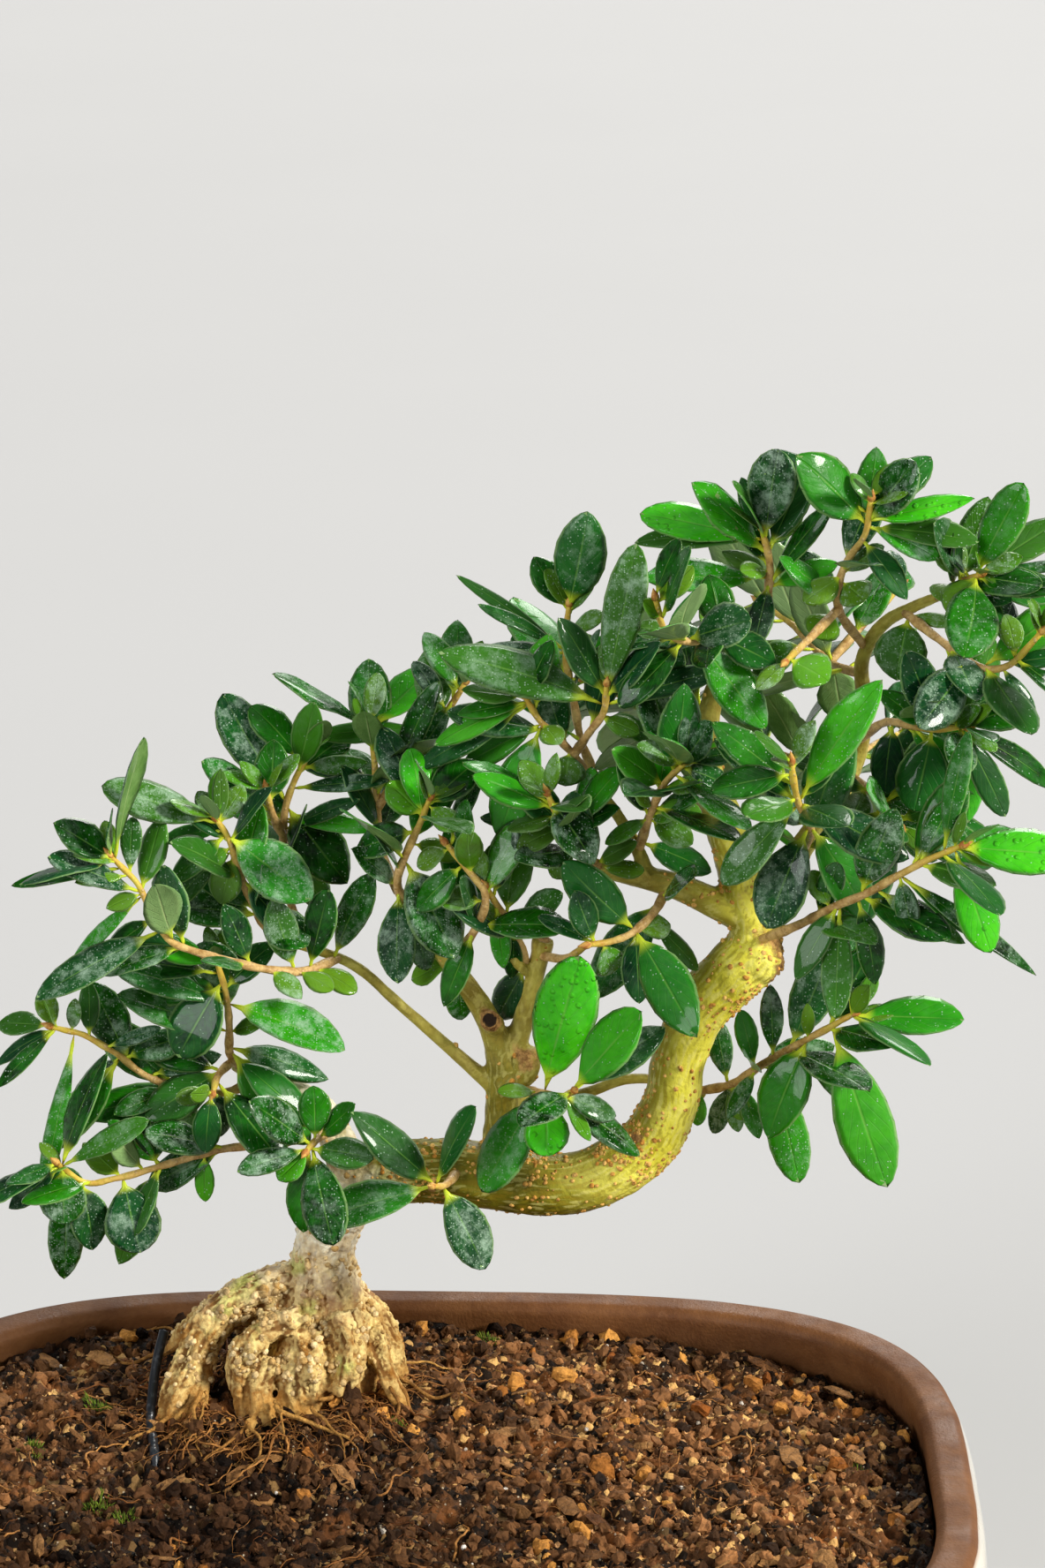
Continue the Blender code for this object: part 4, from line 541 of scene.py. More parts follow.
# Where the knobs of the flare are thickest, as a drawing point with a depth
KNOB_CLUSTER = (61.0, 298.0, 28.0)
CLUSTER_COUNT = 46
CLUSTER_STATIONS = 16
STRANDS_EACH = 3
WART_COUNT = 1300
PIMPLE_COUNT = 900
# Lichen on the flare: a drawing point, its reach, and how thick it is
LICHEN = [(61, 283, 4.5, 0.9), (66, 287, 3.6, 0.9), (56, 289, 4, 0.8), (50, 296, 3.6, 0.8), (45, 303, 3, 0.5),
          (58, 300, 3, 0.6), (69, 296, 3.6, 0.55), (77, 310, 3.2, 0.6)]


def ball(rings, sides):
    """A unit ball as a sweep of circles from pole to pole, with its poles closed."""
    tilt, turn = np.linspace(0, math.pi, rings)[:, None], round_angles(sides)
    return grid(joined(np.sin(tilt) * np.cos(turn), np.sin(tilt) * np.sin(turn), -np.cos(tilt)))


def scattered(shape, centres, scales, turns=None, tone=0):
    """Copies of one shape: scaled, turned by 3 x 3 matrices and set at the centres, each with its tone."""
    points, faces = shape
    copies = points[None] * scales[:, None]
    if turns is not None:
        copies = np.einsum("nij,nkj->nki", turns, copies)
    copies = (copies + centres[:, None]).reshape(-1, 3)
    return copies, repeated(faces, len(centres), len(points)), np.repeat(tone, len(points))


def random_turns(count, rng):
    """Random rotations, as the orthogonal part of random matrices."""
    turns, _ = np.linalg.qr(rng.normal(size=(count, 3, 3)))
    return turns * np.sign(np.linalg.det(turns))[:, None, None]


def wood_limbs():
    """Every limb, root and stub: its name, its count of sides, and its route with radius and roughness."""
    limbs = []
    for name, limb in {**WOOD, **ROOTS, **STUBS}.items():
        stub = name in STUBS
        rows = np.array(limb if stub else limb[1], dtype=float)
        rows[:, :3] = drawn(rows)
        rough = np.full(len(rows), 1.0 if name in ROOTS else 0.3 if stub else 0.12)
        if name == "trunk":
            rough[:] = 0.0
            rough[:len(TRUNK_ROUGH)] = TRUNK_ROUGH
        if name == "first_bend_limb":
            rough[:] = 0.5
        route = smooth_route(np.column_stack([rows, rough]), STUB_STEPS if stub else ROUTE_STEPS)
        limbs.append((name, STUB_SIDES if stub else max(16, limb[0] * 2), route))
    return limbs


def in_blocks(work, points):
    """What work gives for blocks of the points, joined again, so that its tables stay small."""
    return np.concatenate([work(block) for block in np.array_split(points, max(1, len(points) // BLOCK))])


def distances(points, centres):
    return np.linalg.norm(points[:, None] - centres[None], axis=-1)


def nearest_station(points, stations):
    """For each point, the station whose surface is nearest."""
    return in_blocks(lambda block: np.argmin(distances(block, stations[:, :3]) - stations[:, 3], axis=1), points)


def bumps(points, centres, reaches, heights):
    """The sum of round bumps, each height * exp(-(distance / reach)^2), kept within 0 and 1."""
    return in_blocks(lambda block: (heights * np.exp(-(distances(block, centres) / reaches) ** 2)).sum(axis=1),
                     points).clip(0, 1)


def fused(name, points, faces, grain, smoothing):
    """One skin round overlapping closed shapes, in millimetres: a voxel remesh, smoothed.

    Gives its points, faces and normals.
    """
    mesh = bpy.data.meshes.new(name)
    mesh.from_pydata(points.tolist(), [], faces.tolist())
    source = placed(name, mesh)
    remesh = source.modifiers.new("skin", "REMESH")
    remesh.mode = "VOXEL"
    remesh.voxel_size = grain
    smooth = source.modifiers.new("even", "SMOOTH")
    smooth.iterations = smoothing
    smooth.factor = 0.5
    skin = applied(source)
    bpy.data.objects.remove(source, do_unlink=True)
    corners = numbers_of(skin.loops, "vertex_index", 1, np.int32).reshape(-1, 4)
    return numbers_of(skin.vertices, "co", 3), corners, numbers_of(skin.vertex_normals, "vector", 3)


def root_knobs(stations, rng):
    """Round knobs on the root flare, half sunk in it: their centres and radii."""
    flare = stations[(stations[:, 4] > 0.9) & (stations[:, 2] > 70) & (stations[:, 2] < 98)]
    away = np.linalg.norm(flare[:, :3] - drawn([KNOB_CLUSTER])[0], axis=1)
    near = flare[np.argsort(away)[:CLUSTER_STATIONS]]
    picked = np.vstack([flare[rng.integers(0, len(flare), KNOB_COUNT)],
                        near[rng.integers(0, len(near), CLUSTER_COUNT)]])
    count = len(picked)
    outward = unit(rng.normal(size=(count, 3)) * (1, 1, 0.6) + (0, -0.8, 0.1))
    radii = rng.uniform(0.95, 1.8, count)
    return picked[:, :3] + outward * picked[:, 3:4] * rng.uniform(0.98, 1.12, (count, 1)), radii


def root_strands(limbs, rng):
    """Thin roots grown onto the thick ones: each winds down the side of a root, half sunk in it.

    A strand lies at the root's radius from its middle, at an angle that drifts as it goes down.
    """
    shapes = []
    for name, _, route in limbs:
        if name not in ROOTS:
            continue
        side, normal = frames_along(route[:, :3])
        for _ in range(STRANDS_EACH):
            start = rng.integers(0, max(1, len(route) // 3))
            length = len(route) - start
            angle = rng.uniform(0, math.tau) + np.linspace(0, rng.uniform(-1.4, 1.4), length)
            angle += 0.25 * np.sin(np.linspace(0, rng.uniform(4, 9), length))
            ring = np.cos(angle)[:, None] * side[start:] + np.sin(angle)[:, None] * normal[start:]
            line = route[start:, :3] + ring * route[start:, 3:4] * rng.uniform(0.92, 1.08)
            radii = rng.uniform(0.75, 1.35) * np.linspace(1.0, 0.6, length)
            shapes.append(sweep(line, radii, 10)[:2])
    return shapes


def lengthwise(points, station, along):
    """Points for a pattern that runs along the wood: full scale round a limb, a quarter of it lengthwise."""
    off = points - station[:, :3]
    off = off - along * (off * along).sum(axis=1, keepdims=True)
    return off + 0.25 * points


def make_wood():
    """The trunk, limbs and roots: tubes and knobs fused in one skin, then roughened along its normals.

    The roughening is bark plates and grains on the flare, and a slight waviness on the smooth bark.
    """
    rng = np.random.default_rng(WOOD_SEED)
    limbs = wood_limbs()
    grown = [route for name, _, route in limbs if name not in STUBS]
    stations = np.vstack(grown)
    shapes = [sweep(route[:, :3], route[:, 3], sides)[:2] for _, sides, route in limbs]
    centres, radii = root_knobs(stations, rng)
    shapes.append(scattered(ball(8, 10), centres, radii[:, None])[:2])
    shapes += root_strands(limbs, rng)
    points, faces, normals = fused("wood_source", *stack(shapes), WOOD_GRAIN, 2)
    nearest = nearest_station(points, stations)
    station = stations[nearest]
    along = np.vstack([unit(np.gradient(route[:, :3], axis=0)) for route in grown])
    grain = lengthwise(points, station, along[nearest])
    rough = station[:, 4]
    ridged = 1.0 - np.abs(noise(grain, 2.6, 1))
    rise = rough * (0.5 * ridged - 0.33 + 0.2 * noise(points, 1.4, 2) + 0.22 * noise(points, 7.0, 3))
    rise += (1 - rough) * (0.10 * noise(points, 6.0, 4) + 0.07 * noise(grain, 1.6, 5))
    patches = np.array(PATCHES, dtype=float)
    dark = bumps(points, drawn(patches), *patches[:, -2:].T)
    rise += dark * (1 - rough) * 0.35 * noise(points, 1.7, 6)
    thin = np.clip(station[:, 3] / 4.0, 0.25, 1.0)
    points = points + normals * (rise * thin)[:, None]
    above = points[:, 2] - soil_height(points[:, 0], points[:, 1])
    soil_near = 1.0 - ease(above, 1.0, 9.0)
    lichen = np.array(LICHEN, dtype=float)
    lichen = bumps(points, first_met(points, lichen[:, :2]), *lichen[:, -2:].T)
    # Painted light: the bark of the bend and the upper trunk is painted light gold, most where it faces the key
    # light, as that light would light it; the low stretch stays darker as painted shade.
    start, full = drawn([(118, 266, 36), (152, 250, 36)])[:, 0]
    facing_key_light = normals @ np.array([0.80, -0.35, 0.48])
    gold = ease(points[:, 0], start, full) * (0.25 + 0.75 * ease(facing_key_light, -0.35, 0.75)) + 0.12 * ease(facing_key_light, 0.2, 0.9)
    gold *= ease(station[:, 3], 2.2, 4.8)
    add_piece("trunk_and_roots", points, faces, "bark", "trunk", rough=rough, rise=rise, dark=dark,
              soil_near=soil_near, low=1.0 - ease(above, 16.0, 40.0), lichen=lichen, gold=np.clip(gold, 0, 1),
              limb=1.0 - ease(station[:, 3], 1.6, 5.0), fibre=noise(grain, 1.2, 7))
    warts_on_smooth_bark(points, normals, station)
    pimples_on_flare(points, normals, station, soil_near)


def first_met(points, places):
    """For each drawing point, the point of a surface that its line of sight meets first."""
    lines = unit(drawn(np.column_stack([places, np.zeros(len(places))])) - EYE)
    offsets = points - EYE
    met = []
    for line in lines:
        along = offsets @ line
        off = np.linalg.norm(offsets - along[:, None] * line, axis=1)
        met.append(points[np.argmin(np.where(off < 0.8, along, np.inf))])
    return np.array(met)


def stand_on_bark(name, points, normals, weight, count, radius, rng):
    """Round lumps on the bark, at points picked by weight and sunk by a quarter of their radius."""
    picked = rng.choice(len(points), count, replace=False, p=weight / weight.sum())
    radii = radius[0] + (radius[1] - radius[0]) * rng.random(count) ** 1.5
    centres = points[picked] - normals[picked] * radii[:, None] * 0.25
    scales = radii[:, None] * rng.uniform(0.8, 1.25, (count, 3))
    add_toned(name, [scattered(ball(5, 8), centres, scales, random_turns(count, rng), rng.random(count))], "bark")


def warts_on_smooth_bark(points, normals, station):
    """Corky warts in drifts, thickest on the two bends and under the stretch between them."""
    bends = drawn([(141, 263, 36), (133, 268, 36), (152, 246, 36), (169, 217, 36), (90, 266, 36), (120, 269, 36)])
    near = np.exp(-(distances(points, bends).min(axis=1) / 12.0) ** 2)
    drift = ease(noise(points, 16.0, 33), -0.2, 0.9)
    weight = (1 - np.clip(station[:, 4] * 1.4, 0, 1)) * ease(station[:, 3], 1.2, 4.0) * (0.12 + near) * (0.1 + drift)
    rng = np.random.default_rng(WART_SEED)
    stand_on_bark("bark_warts", points, normals, weight, WART_COUNT, (0.24, 0.66), rng)


def pimples_on_flare(points, normals, station, soil_near):
    """Pale pimples on the rough bark of the flare and the neck, in drifts, and none down by the soil."""
    drift = ease(noise(points, 9.0, 34), -0.3, 0.8)
    near = np.exp(-(np.linalg.norm(points - drawn([KNOB_CLUSTER]), axis=1) / 14.0) ** 2)
    weight = np.clip(station[:, 4] - 0.4, 0, 1) * (1 - soil_near) ** 2 * (0.1 + drift) * (0.3 + near)
    rng = np.random.default_rng(PIMPLE_SEED)
    stand_on_bark("flare_pimples", points, normals, weight, PIMPLE_COUNT, (0.3, 1.05), rng)

# The pot and what lies in it

# Roots that end in string-thin roots over the soil
SURFACE_ROOTS = ("root_ridge_fork", "root_thin", "root_middle", "root_loop", "root_front",
                 "root_right", "root_right_thin", "root_back_left")
# Moss cushions: across and back from the pot's middle, and their reach
MOSS = ((-66, -12, 3.2), (-60, -17, 2.4), (-84, 8, 3.0), (-72, 30, 2.6), (-20, 62, 2.8), (14, 66, 2.2),
        (-96, -30, 2.6), (-47, -44, 2.2), (74, -40, 2.4), (-4, 22, 1.8), (-38, 58, 2.4), (96, 8, 2.0))
# The drain nets: how far out the bars lie and reach, their count, and their radii at the edge and within
NET_HALF, NET_REACH, NET_BARS, NET_EDGE, NET_BAR = 13.2, 13.6, 12, 0.5, 0.32
# The wire's run over the soil, on from where its solid ends: drawing points with a depth
WIRE_RUN = [(35.0, 334, 11), (35.2, 336, 7), (35.2, 338, 3)]


def plan_ring(inset, turn):
    """Points of the pot's plan, a superellipse this far in from the rim's outer edge.

    |x / a|^n + |y / b|^n = 1, with turn spread evenly round the corners.
    """
    even = turn - 0.16 * np.sin(4 * turn)
    x, y = (np.sign(share) * np.abs(share) ** (2.0 / PLAN_POWER) for share in (np.cos(even), np.sin(even)))
    return (RIM_HALF[0] - inset) * x, (RIM_HALF[1] - inset) * y


def plan_share(x, y, margin):
    """|x / a|^n + |y / b|^n for the pot's plan drawn in by a margin: below 1 for places inside it."""
    return np.abs(x / (RIM_HALF[0] - margin)) ** PLAN_POWER + np.abs(y / (RIM_HALF[1] - margin)) ** PLAN_POWER


def hill(x, y, place, reach):
    """A round hill, exp(-(distance / reach)^2 / 2)."""
    return np.exp(-0.5 * (np.hypot(x - place[0], y - place[1]) / reach) ** 2)


def soil_height(x, y):
    """The soil's level: mounded round the trunk, and lower at the right back."""
    mound = SOIL_MOUND * hill(x, y, MOUND_PLACE, MOUND_REACH)
    dip = SOIL_DIP * hill(x, y, DIP_PLACE, DIP_REACH)
    return SOIL_EDGE_HEIGHT + mound - dip + 0.9 * np.sin(x * 0.21 + 1.3) * np.sin(y * 0.17 + 0.4)


def soil_surface(x, y):
    """The soil's top with its lumps: the level, plus waves of three sizes."""
    flat = joined(x, y, 0.0)
    lumps = 1.1 * noise(flat, 14.0, 11) + 0.9 * noise(flat, 5.0, 12) + 0.6 * noise(flat, 2.2, 13)
    return soil_height(x, y) + lumps


def swept_profile(insets, heights, steps):
    """A surface of revolution on the pot's plan: the profile's insets and heights carried round it."""
    return joined(*plan_ring(insets[:, None], round_angles(steps, 0.5)), heights[:, None])


def make_pot():
    """The bowl: one closed profile carried round its plan, with the drain holes drilled, and its feet.

    The profile runs from the middle of the underside, up the outside, over the lip and down the inside to
    the middle of the floor. Glaze is 1 on the outside, and 0 on the bare clay of the lip and the inside.
    """
    floor = FOOT_HEIGHT + FLOOR_THICKNESS
    wall = [(BASE_IN - 1.0 + (1.0 - BASE_IN - BELLY_OUT) * math.sin(part * math.pi / 2) ** 1.1,
             FOOT_HEIGHT + 3.6 + 47.0 * part, 1) for part in np.arange(9) / 8]
    route = smooth_route([
        (62.0, FOOT_HEIGHT, 0), (40.0, FOOT_HEIGHT, 0), (BASE_IN + 6.0, FOOT_HEIGHT, 0),
        (BASE_IN + 3.0, FOOT_HEIGHT, 0), (BASE_IN + 0.6, FOOT_HEIGHT + 1.1, 0.4), *wall,
        (-BELLY_OUT + 0.3, 63.0, 1), (-1.7, 66.2, 1), (-0.7, 68.8, 1), (-0.1, 70.2, 0.5),
        (0.5, 71.2, 0), (1.5, 71.85, 0), (2.8, RIM_HEIGHT, 0), (RIM_WIDTH - 2.8, RIM_HEIGHT, 0),
        (RIM_WIDTH - 1.4, RIM_HEIGHT - 0.3, 0), (RIM_WIDTH - 0.4, RIM_HEIGHT - 1.3, 0),
        (RIM_WIDTH, RIM_HEIGHT - 3.0, 0), (RIM_WIDTH - 0.7, RIM_HEIGHT - 9.0, 0),
        (RIM_WIDTH - 2.0, RIM_HEIGHT - 16.0, 0), (RIM_WIDTH - 1.2, 48.0, 0), (RIM_WIDTH + 2.0, 40.0, 0),
        (BASE_IN + 4.0, floor + 4.0, 0), (BASE_IN + 9.0, floor, 0), (40.0, floor, 0), (62.0, floor, 0),
    ], 3)
    route[:, 1] = np.clip(route[:, 1], FOOT_HEIGHT, RIM_HEIGHT)
    shell = swept_profile(route[:, 0], route[:, 1], PLAN_STEPS)
    uneven = 0.12 * noise(shell, 60.0, 21) + 0.05 * noise(shell, 14.0, 22)
    high = ease(shell[..., 2], FOOT_HEIGHT + 1, 20.0)[..., None]
    shell[..., :2] *= 1 + (uneven / 100)[..., None] * high
    shell = np.concatenate([shell[:1] * (0, 0, 1), shell, shell[-1:] * (0, 0, 1)])
    glaze = np.repeat(np.concatenate([[0], route[:, 2], [0]]).clip(0, 1), PLAN_STEPS)
    along = np.concatenate([[0], np.cumsum(np.linalg.norm(np.diff(route[:, :2], axis=0), axis=1)), [0, 0]]) / 250
    uv = joined(np.arange(PLAN_STEPS) / PLAN_STEPS * 2.8, along[:len(shell), None]).reshape(-1, 2)
    drill_drains(add_piece("pot_body", *grid(shell), "pot", "pot", uv=uv, glaze=glaze))
    make_feet()


def drill_drains(pot):
    """Cuts the two round drain holes through the floor."""
    drills = bpy.data.collections.new("drills")
    rings, turn = np.array([(0, 0), (DRAIN_RADIUS, 0), (DRAIN_RADIUS, 30), (0, 30)]), round_angles(DRAIN_SIDES)
    for across in (-DRAIN_PLACE, DRAIN_PLACE):
        points = joined(across + rings[:, :1] * np.cos(turn), rings[:, :1] * np.sin(turn), rings[:, 1:])
        mesh = framed_mesh("drill", *grid(points))
        close_seams(mesh)
        drills.objects.link(bpy.data.objects.new("drill", mesh))
    cut = pot.modifiers.new("drains", "BOOLEAN")
    cut.operation = "DIFFERENCE"
    cut.operand_type = "COLLECTION"
    cut.collection = drills
    cut.solver = "EXACT"
    pot.data = applied(pot)
    pot.modifiers.clear()
    for drill in list(drills.objects):
        bpy.data.objects.remove(drill, do_unlink=True)
    bpy.data.collections.remove(drills)


def make_feet():
    """Four low feet: rounded rectangles in plan that flare a little from the floor up into the base."""
    turn = round_angles(FOOT_SIDES, 0.5)
    levels = np.array([(0.0, 0.0), (0.75, 0.0), (0.93, 0.0), (0.985, 0.5), (1.0, 1.6), (1.02, 6.0), (1.09, 8.4),
                       (0.0, 8.4)])
    corner = [np.sign(share) * np.abs(share) ** 0.35 for share in (np.cos(turn), np.sin(turn))]
    shapes = []
    for sides in ((-1, -1), (-1, 1), (1, -1), (1, 1)):
        x, y = (side * place + levels[:, :1] * size / 2 * share
                for side, place, size, share in zip(sides, FOOT_PLACE, FOOT_SIZE, corner))
        points, faces = grid(joined(x, y, levels[:, 1:]))
        shapes.append((points, faces, np.clip(points[:, 2] / 2, 0, 1)))
    points, faces, glaze = stack(shapes)
    add_piece("pot_feet", points, faces, "pot", glaze=glaze)


def make_soil():
    """The soil: a lumpy top over the wall's own profile, closed underneath."""
    edge = RIM_WIDTH + 0.2
    insets = np.concatenate([[BASE_IN + 14.0, BASE_IN + 5.0, RIM_WIDTH + 2.4, RIM_WIDTH - 1.4], [edge],
                             np.linspace(edge + 0.6, RIM_HALF[1] - 1.0, 118)])
    heights = np.concatenate([[SOIL_BOTTOM, SOIL_BOTTOM + 2.5, 40.0, RIM_HEIGHT - 16.0], np.full(119, 60.0)])
    points = swept_profile(insets, heights, SOIL_STEPS)
    points = np.concatenate([points[:1] * (0, 0, 1), points, points[-1:] * (1, 0, 1)])
    top = points[5:]
    top[..., 2] = soil_surface(top[..., 0], top[..., 1])
    top[0, :, 2] -= 1.5
    add_piece("soil_body", *grid(points), "soil", "soil")


def soil_places(count, rng, margin=10.5):
    """Random places on the soil, clear of the wall, with the surface's height there."""
    x, y = (rng.uniform(-half, half, count * 3) for half in RIM_HALF)
    inside = plan_share(x, y, margin) < 1
    x, y = x[inside][:count], y[inside][:count]
    return joined(x, y, soil_surface(x, y))


def lump(seed, roughness=0.28, rings=6, sides=7):
    """An irregular grain: a ball of few faces, its points moved in and out by noise and squared a little."""
    points, faces = ball(rings, sides)
    points = np.sign(points) * np.abs(points) ** 0.8
    return points * (1 + roughness * noise(points, 1.1, seed))[:, None], faces


def scatter_grains(name, kinds, count, radius, sink, rng, roughness=0.28, rings=6, sides=7, drift=None):
    """Grains of a few kinds on the soil: sizes within radius, sunk by part of it.

    A drift keeps them where its waves, so many mm long, are high, and more to the back right.
    """
    parts = []
    for kind in range(kinds):
        places = soil_places(count // kinds, rng)
        if drift:
            thick = noise(places * (1, 1, 0), drift, DRIFT_SEED) + 0.006 * (places[:, 0] + places[:, 1])
            places = places[thick > rng.uniform(-0.9, 0.9, len(places))]
        size = radius[0] + (radius[1] - radius[0]) * rng.random(len(places)) ** 2.2
        scales = size[:, None] * rng.uniform(0.7, 1.15, (len(places), 3)) * (1, 1, 0.75)
        places[:, 2] += size * sink
        parts.append(scattered(lump(kind + 40, roughness, rings, sides), places, scales,
                               random_turns(len(places), rng), rng.random(len(places))))
    add_toned(name, parts, "soil", smooth=False)


def make_soil_litter():
    """What the soil is made of: dark crumbs, orange clay grains, bark chips, white grit and rootlets."""
    rng = np.random.default_rng(SOIL_SEED)
    scatter_grains("dark_crumbs", 8, 2800, (0.5, 2.2), 0.15, rng, 0.4)
    scatter_grains("fine_crumbs", 6, 5200, (0.25, 0.8), 0.3, rng, 0.42, 5, 5)
    scatter_grains("clay_grains", 6, 300, (0.7, 2.6), 0.2, rng, 0.3, drift=45.0)
    scatter_grains("white_grit", 2, 90, (0.25, 0.7), 0.5, rng)
    make_bark_chips(rng)
    make_rootlets(rng)
    make_surface_roots(rng)
    make_moss(rng)


def make_bark_chips(rng):
    """Flat splinters of bark lying on the soil at slight angles."""
    count = 170
    places = soil_places(count, rng)
    places[:, 2] += rng.uniform(0.3, 1.1, count)
    length = rng.uniform(1.6, 5.4, count) ** 1.1
    scales = joined(length, length * rng.uniform(0.22, 0.5, count), rng.uniform(0.25, 0.6, count)) * 0.8
    heading, tilt = rng.uniform(0, math.tau, count), rng.normal(0, 0.25, (2, count))
    forward = unit(joined(np.cos(heading), np.sin(heading), tilt[0]))
    side = unit(joined(-np.sin(heading), np.cos(heading), tilt[1]))
    turns = np.stack([forward, side, np.cross(forward, side)], axis=-1)
    add_toned("bark_chips", [scattered(lump(61, 0.22), places, scales, turns, rng.random(count))], "soil",
              smooth=False)


def levelled(heights):
    """Heights along threads, each row evened out with its neighbours so that a thread spans small gaps."""
    for _ in range(3):
        padded = np.pad(heights, [(0, 0)] * (heights.ndim - 1) + [(1, 1)], "edge")
        heights = (padded[..., :-2] + 2 * padded[..., 1:-1] + padded[..., 2:]) / 4
    return heights


def make_rootlets(rng):
    """Fine orange-brown roots: wandering threads on the soil, thickest round the root flare."""
    count, steps = 560, 12
    starts = soil_places(count, rng, 14.0)
    near = rng.random(count) < 0.62
    heading = rng.uniform(0, math.tau, count)
    spread = rng.uniform(10.0, 30.0, count)
    starts[near, 0] = MOUND_PLACE[0] - 8.0 + spread[near] * np.cos(heading[near])
    starts[near, 1] = MOUND_PLACE[1] - 10.0 + spread[near] * np.sin(heading[near]) * 0.8
    turn = heading[:, None] + np.cumsum(rng.normal(0, 0.34, (count, steps)), axis=1)
    step = rng.uniform(0.5, 1.7, count)[:, None]
    x = starts[:, :1] + np.cumsum(step * np.cos(turn), axis=1)
    y = starts[:, 1:2] + np.cumsum(step * np.sin(turn), axis=1)
    keep = plan_share(x, y, 12.0).max(axis=1) < 1
    x, y = x[keep], y[keep]
    lift = 0.6 + 1.5 * np.abs(np.cumsum(rng.normal(0, 0.3, x.shape), axis=1)).clip(0, 1.4)
    lift *= np.sin(np.linspace(0.15, math.pi - 0.15, steps))
    routes = joined(x, y, levelled(soil_surface(x, y)) + lift)
    thick = 0.07 + 0.36 * rng.random(len(routes)) ** 3
    taper = np.linspace(1.0, 0.45, steps)
    shapes = [(*sweep(route, radius * taper, 4)[:2], np.full((steps + 2) * 4, tone))
              for route, radius, tone in zip(routes, thick, rng.random(len(routes)))]
    add_toned("rootlets", shapes, "soil")


def make_surface_roots(rng):
    """Roots as thick as string that leave the feet of the thick roots and wander out over the soil."""
    shapes = []
    for name in SURFACE_ROOTS:
        foot = drawn(ROOTS[name][1])[-2:]
        for _ in range(2):
            steps = 18
            heading = math.atan2(*(foot[1] - foot[0])[1::-1]) + rng.normal(0, 0.5)
            turns = heading + np.cumsum(rng.normal(0, 0.24, steps))
            step = rng.uniform(0.7, 1.6)
            x, y = (start + np.cumsum(step * share(turns)) + rng.uniform(-1.5, 1.5)
                    for start, share in zip(foot[0], (np.cos, np.sin)))
            lift = np.linspace(4.5, -0.6, steps) * np.linspace(1, 0.2, steps)
            lift += 0.12 * rng.normal(0, 0.5, steps).cumsum()
            route = smooth_route(joined(x, y, levelled(soil_surface(x, y)) + lift), 2)
            points, faces, _ = sweep(route, rng.uniform(0.3, 0.75) * np.linspace(1.0, 0.25, len(route)), 7)
            shapes.append((points, faces, np.full(len(points), rng.uniform(0.3, 1.0))))
    add_toned("surface_roots", shapes, "bark")


def make_moss(rng):
    """Moss: cushions of short hairs, each a cone that leans out from its cushion's middle."""
    shapes, turn = [], round_angles(4)
    ring = joined(np.cos(turn), np.sin(turn), 0.0)
    for across, deep, reach in MOSS:
        count = int(26 * reach ** 1.6)
        angle, out = rng.uniform(0, math.tau, count), reach * np.sqrt(rng.random(count))
        x, y = across + out * np.cos(angle), deep + out * np.sin(angle)
        foot = joined(x, y, soil_surface(x, y) - 0.2)
        lean = joined(np.cos(angle) * out / reach, np.sin(angle) * out / reach, 1.1)
        tip = foot + unit(lean + rng.normal(0, 0.25, (count, 3))) * rng.uniform(0.8, 2.1, (count, 1))
        rows = [place[:, None] + radius * ring for place, radius in
                ((foot, 0.0), (foot, 0.17), ((foot + tip) / 2, 0.13), (tip, 0.0))]
        shapes.append((np.stack(rows, axis=1).reshape(-1, 3), repeated(grid_faces(4, 4), count, 16),
                       np.repeat(rng.random(count), 16)))
    add_toned("moss_hairs", shapes, "leaf")


def make_drain_nets():
    """The nets over the drain holes: crossing bars of round section in a square frame."""
    height = FOOT_HEIGHT + FLOOR_THICKNESS + 0.8
    offsets = np.linspace(-NET_HALF, NET_HALF, NET_BARS)
    for side, across in (("left", -DRAIN_PLACE), ("right", DRAIN_PLACE)):
        shapes = []
        for offset in offsets:
            thick = NET_EDGE if abs(offset) == NET_HALF else NET_BAR
            bar = np.array([(-NET_REACH, offset, 0.0), (NET_REACH, offset, 0.0)])
            for ends in (bar, bar[:, [1, 0, 2]]):
                line = smooth_route(ends + (across, 0, height), 4)
                shapes.append(sweep(line, np.full(len(line), thick), 8)[:2])
        add_piece("drain_net_mesh_" + side, *stack(shapes), "net", "drain_net_" + side)


def make_tie_wire():
    """The end of the black tie wire: a round wire with a slight kink, cut square."""
    route = smooth_route(drawn(TIE_WIRE + WIRE_RUN), 8)
    route[:, 2] = np.maximum(route[:, 2], soil_surface(route[:, 0], route[:, 1])
                             + 1.2 - 3.0 * ease(np.linspace(0, 1, len(route)), 0.82, 1.0))
    for _ in range(6):
        route[1:-1] = (route[:-2] + 2 * route[1:-1] + route[2:]) / 4
    points, faces, _ = sweep(route, np.full(len(route), TIE_WIRE_RADIUS), 14)
    add_piece("tie_wire_end", points, faces, "wire", "tie_wire")


# The leafy sprays

# Pairs of leaves added on each twig: how far along it they stand, and their length
FILLING_PAIRS = ((1.0, 12.0), (0.97, 9.0), (0.84, 19.0), (0.6, 20.0), (0.38, 18.0))
# Sprays that stand before the trunk and stay open
OPEN_SPRAYS = ("elbow_low", "arch_front", "bend_front", "arch_drop")

# Leaves painted bright as if lit through, by spray and by their place in its list: how bright they are painted
PAINTED_BACKLIT_LEAVES = {
    "arch_front": {0: 0.95, 1: 0.6, 2: 0.85}, "elbow_right": {0: 0.9, 1: 0.55}, "crown_top": {0: 0.85},
    "left_upright": {7: 0.8, 3: 0.35}, "right_low": {0: 0.55, 1: 0.5, 2: 0.4}, "centre_rosette": {2: 0.45},
    "right_mid": {4: 0.7}, "crown_mid": {4: 1.2}, "crown_left": {0: 0.5},
}
BLADE_ROWS = np.array((0.0, 0.07, 0.13, 0.23, 0.36, 0.50, 0.65, 0.79, 0.90, 0.967, 1.0))
BLADE_SIDES = 8
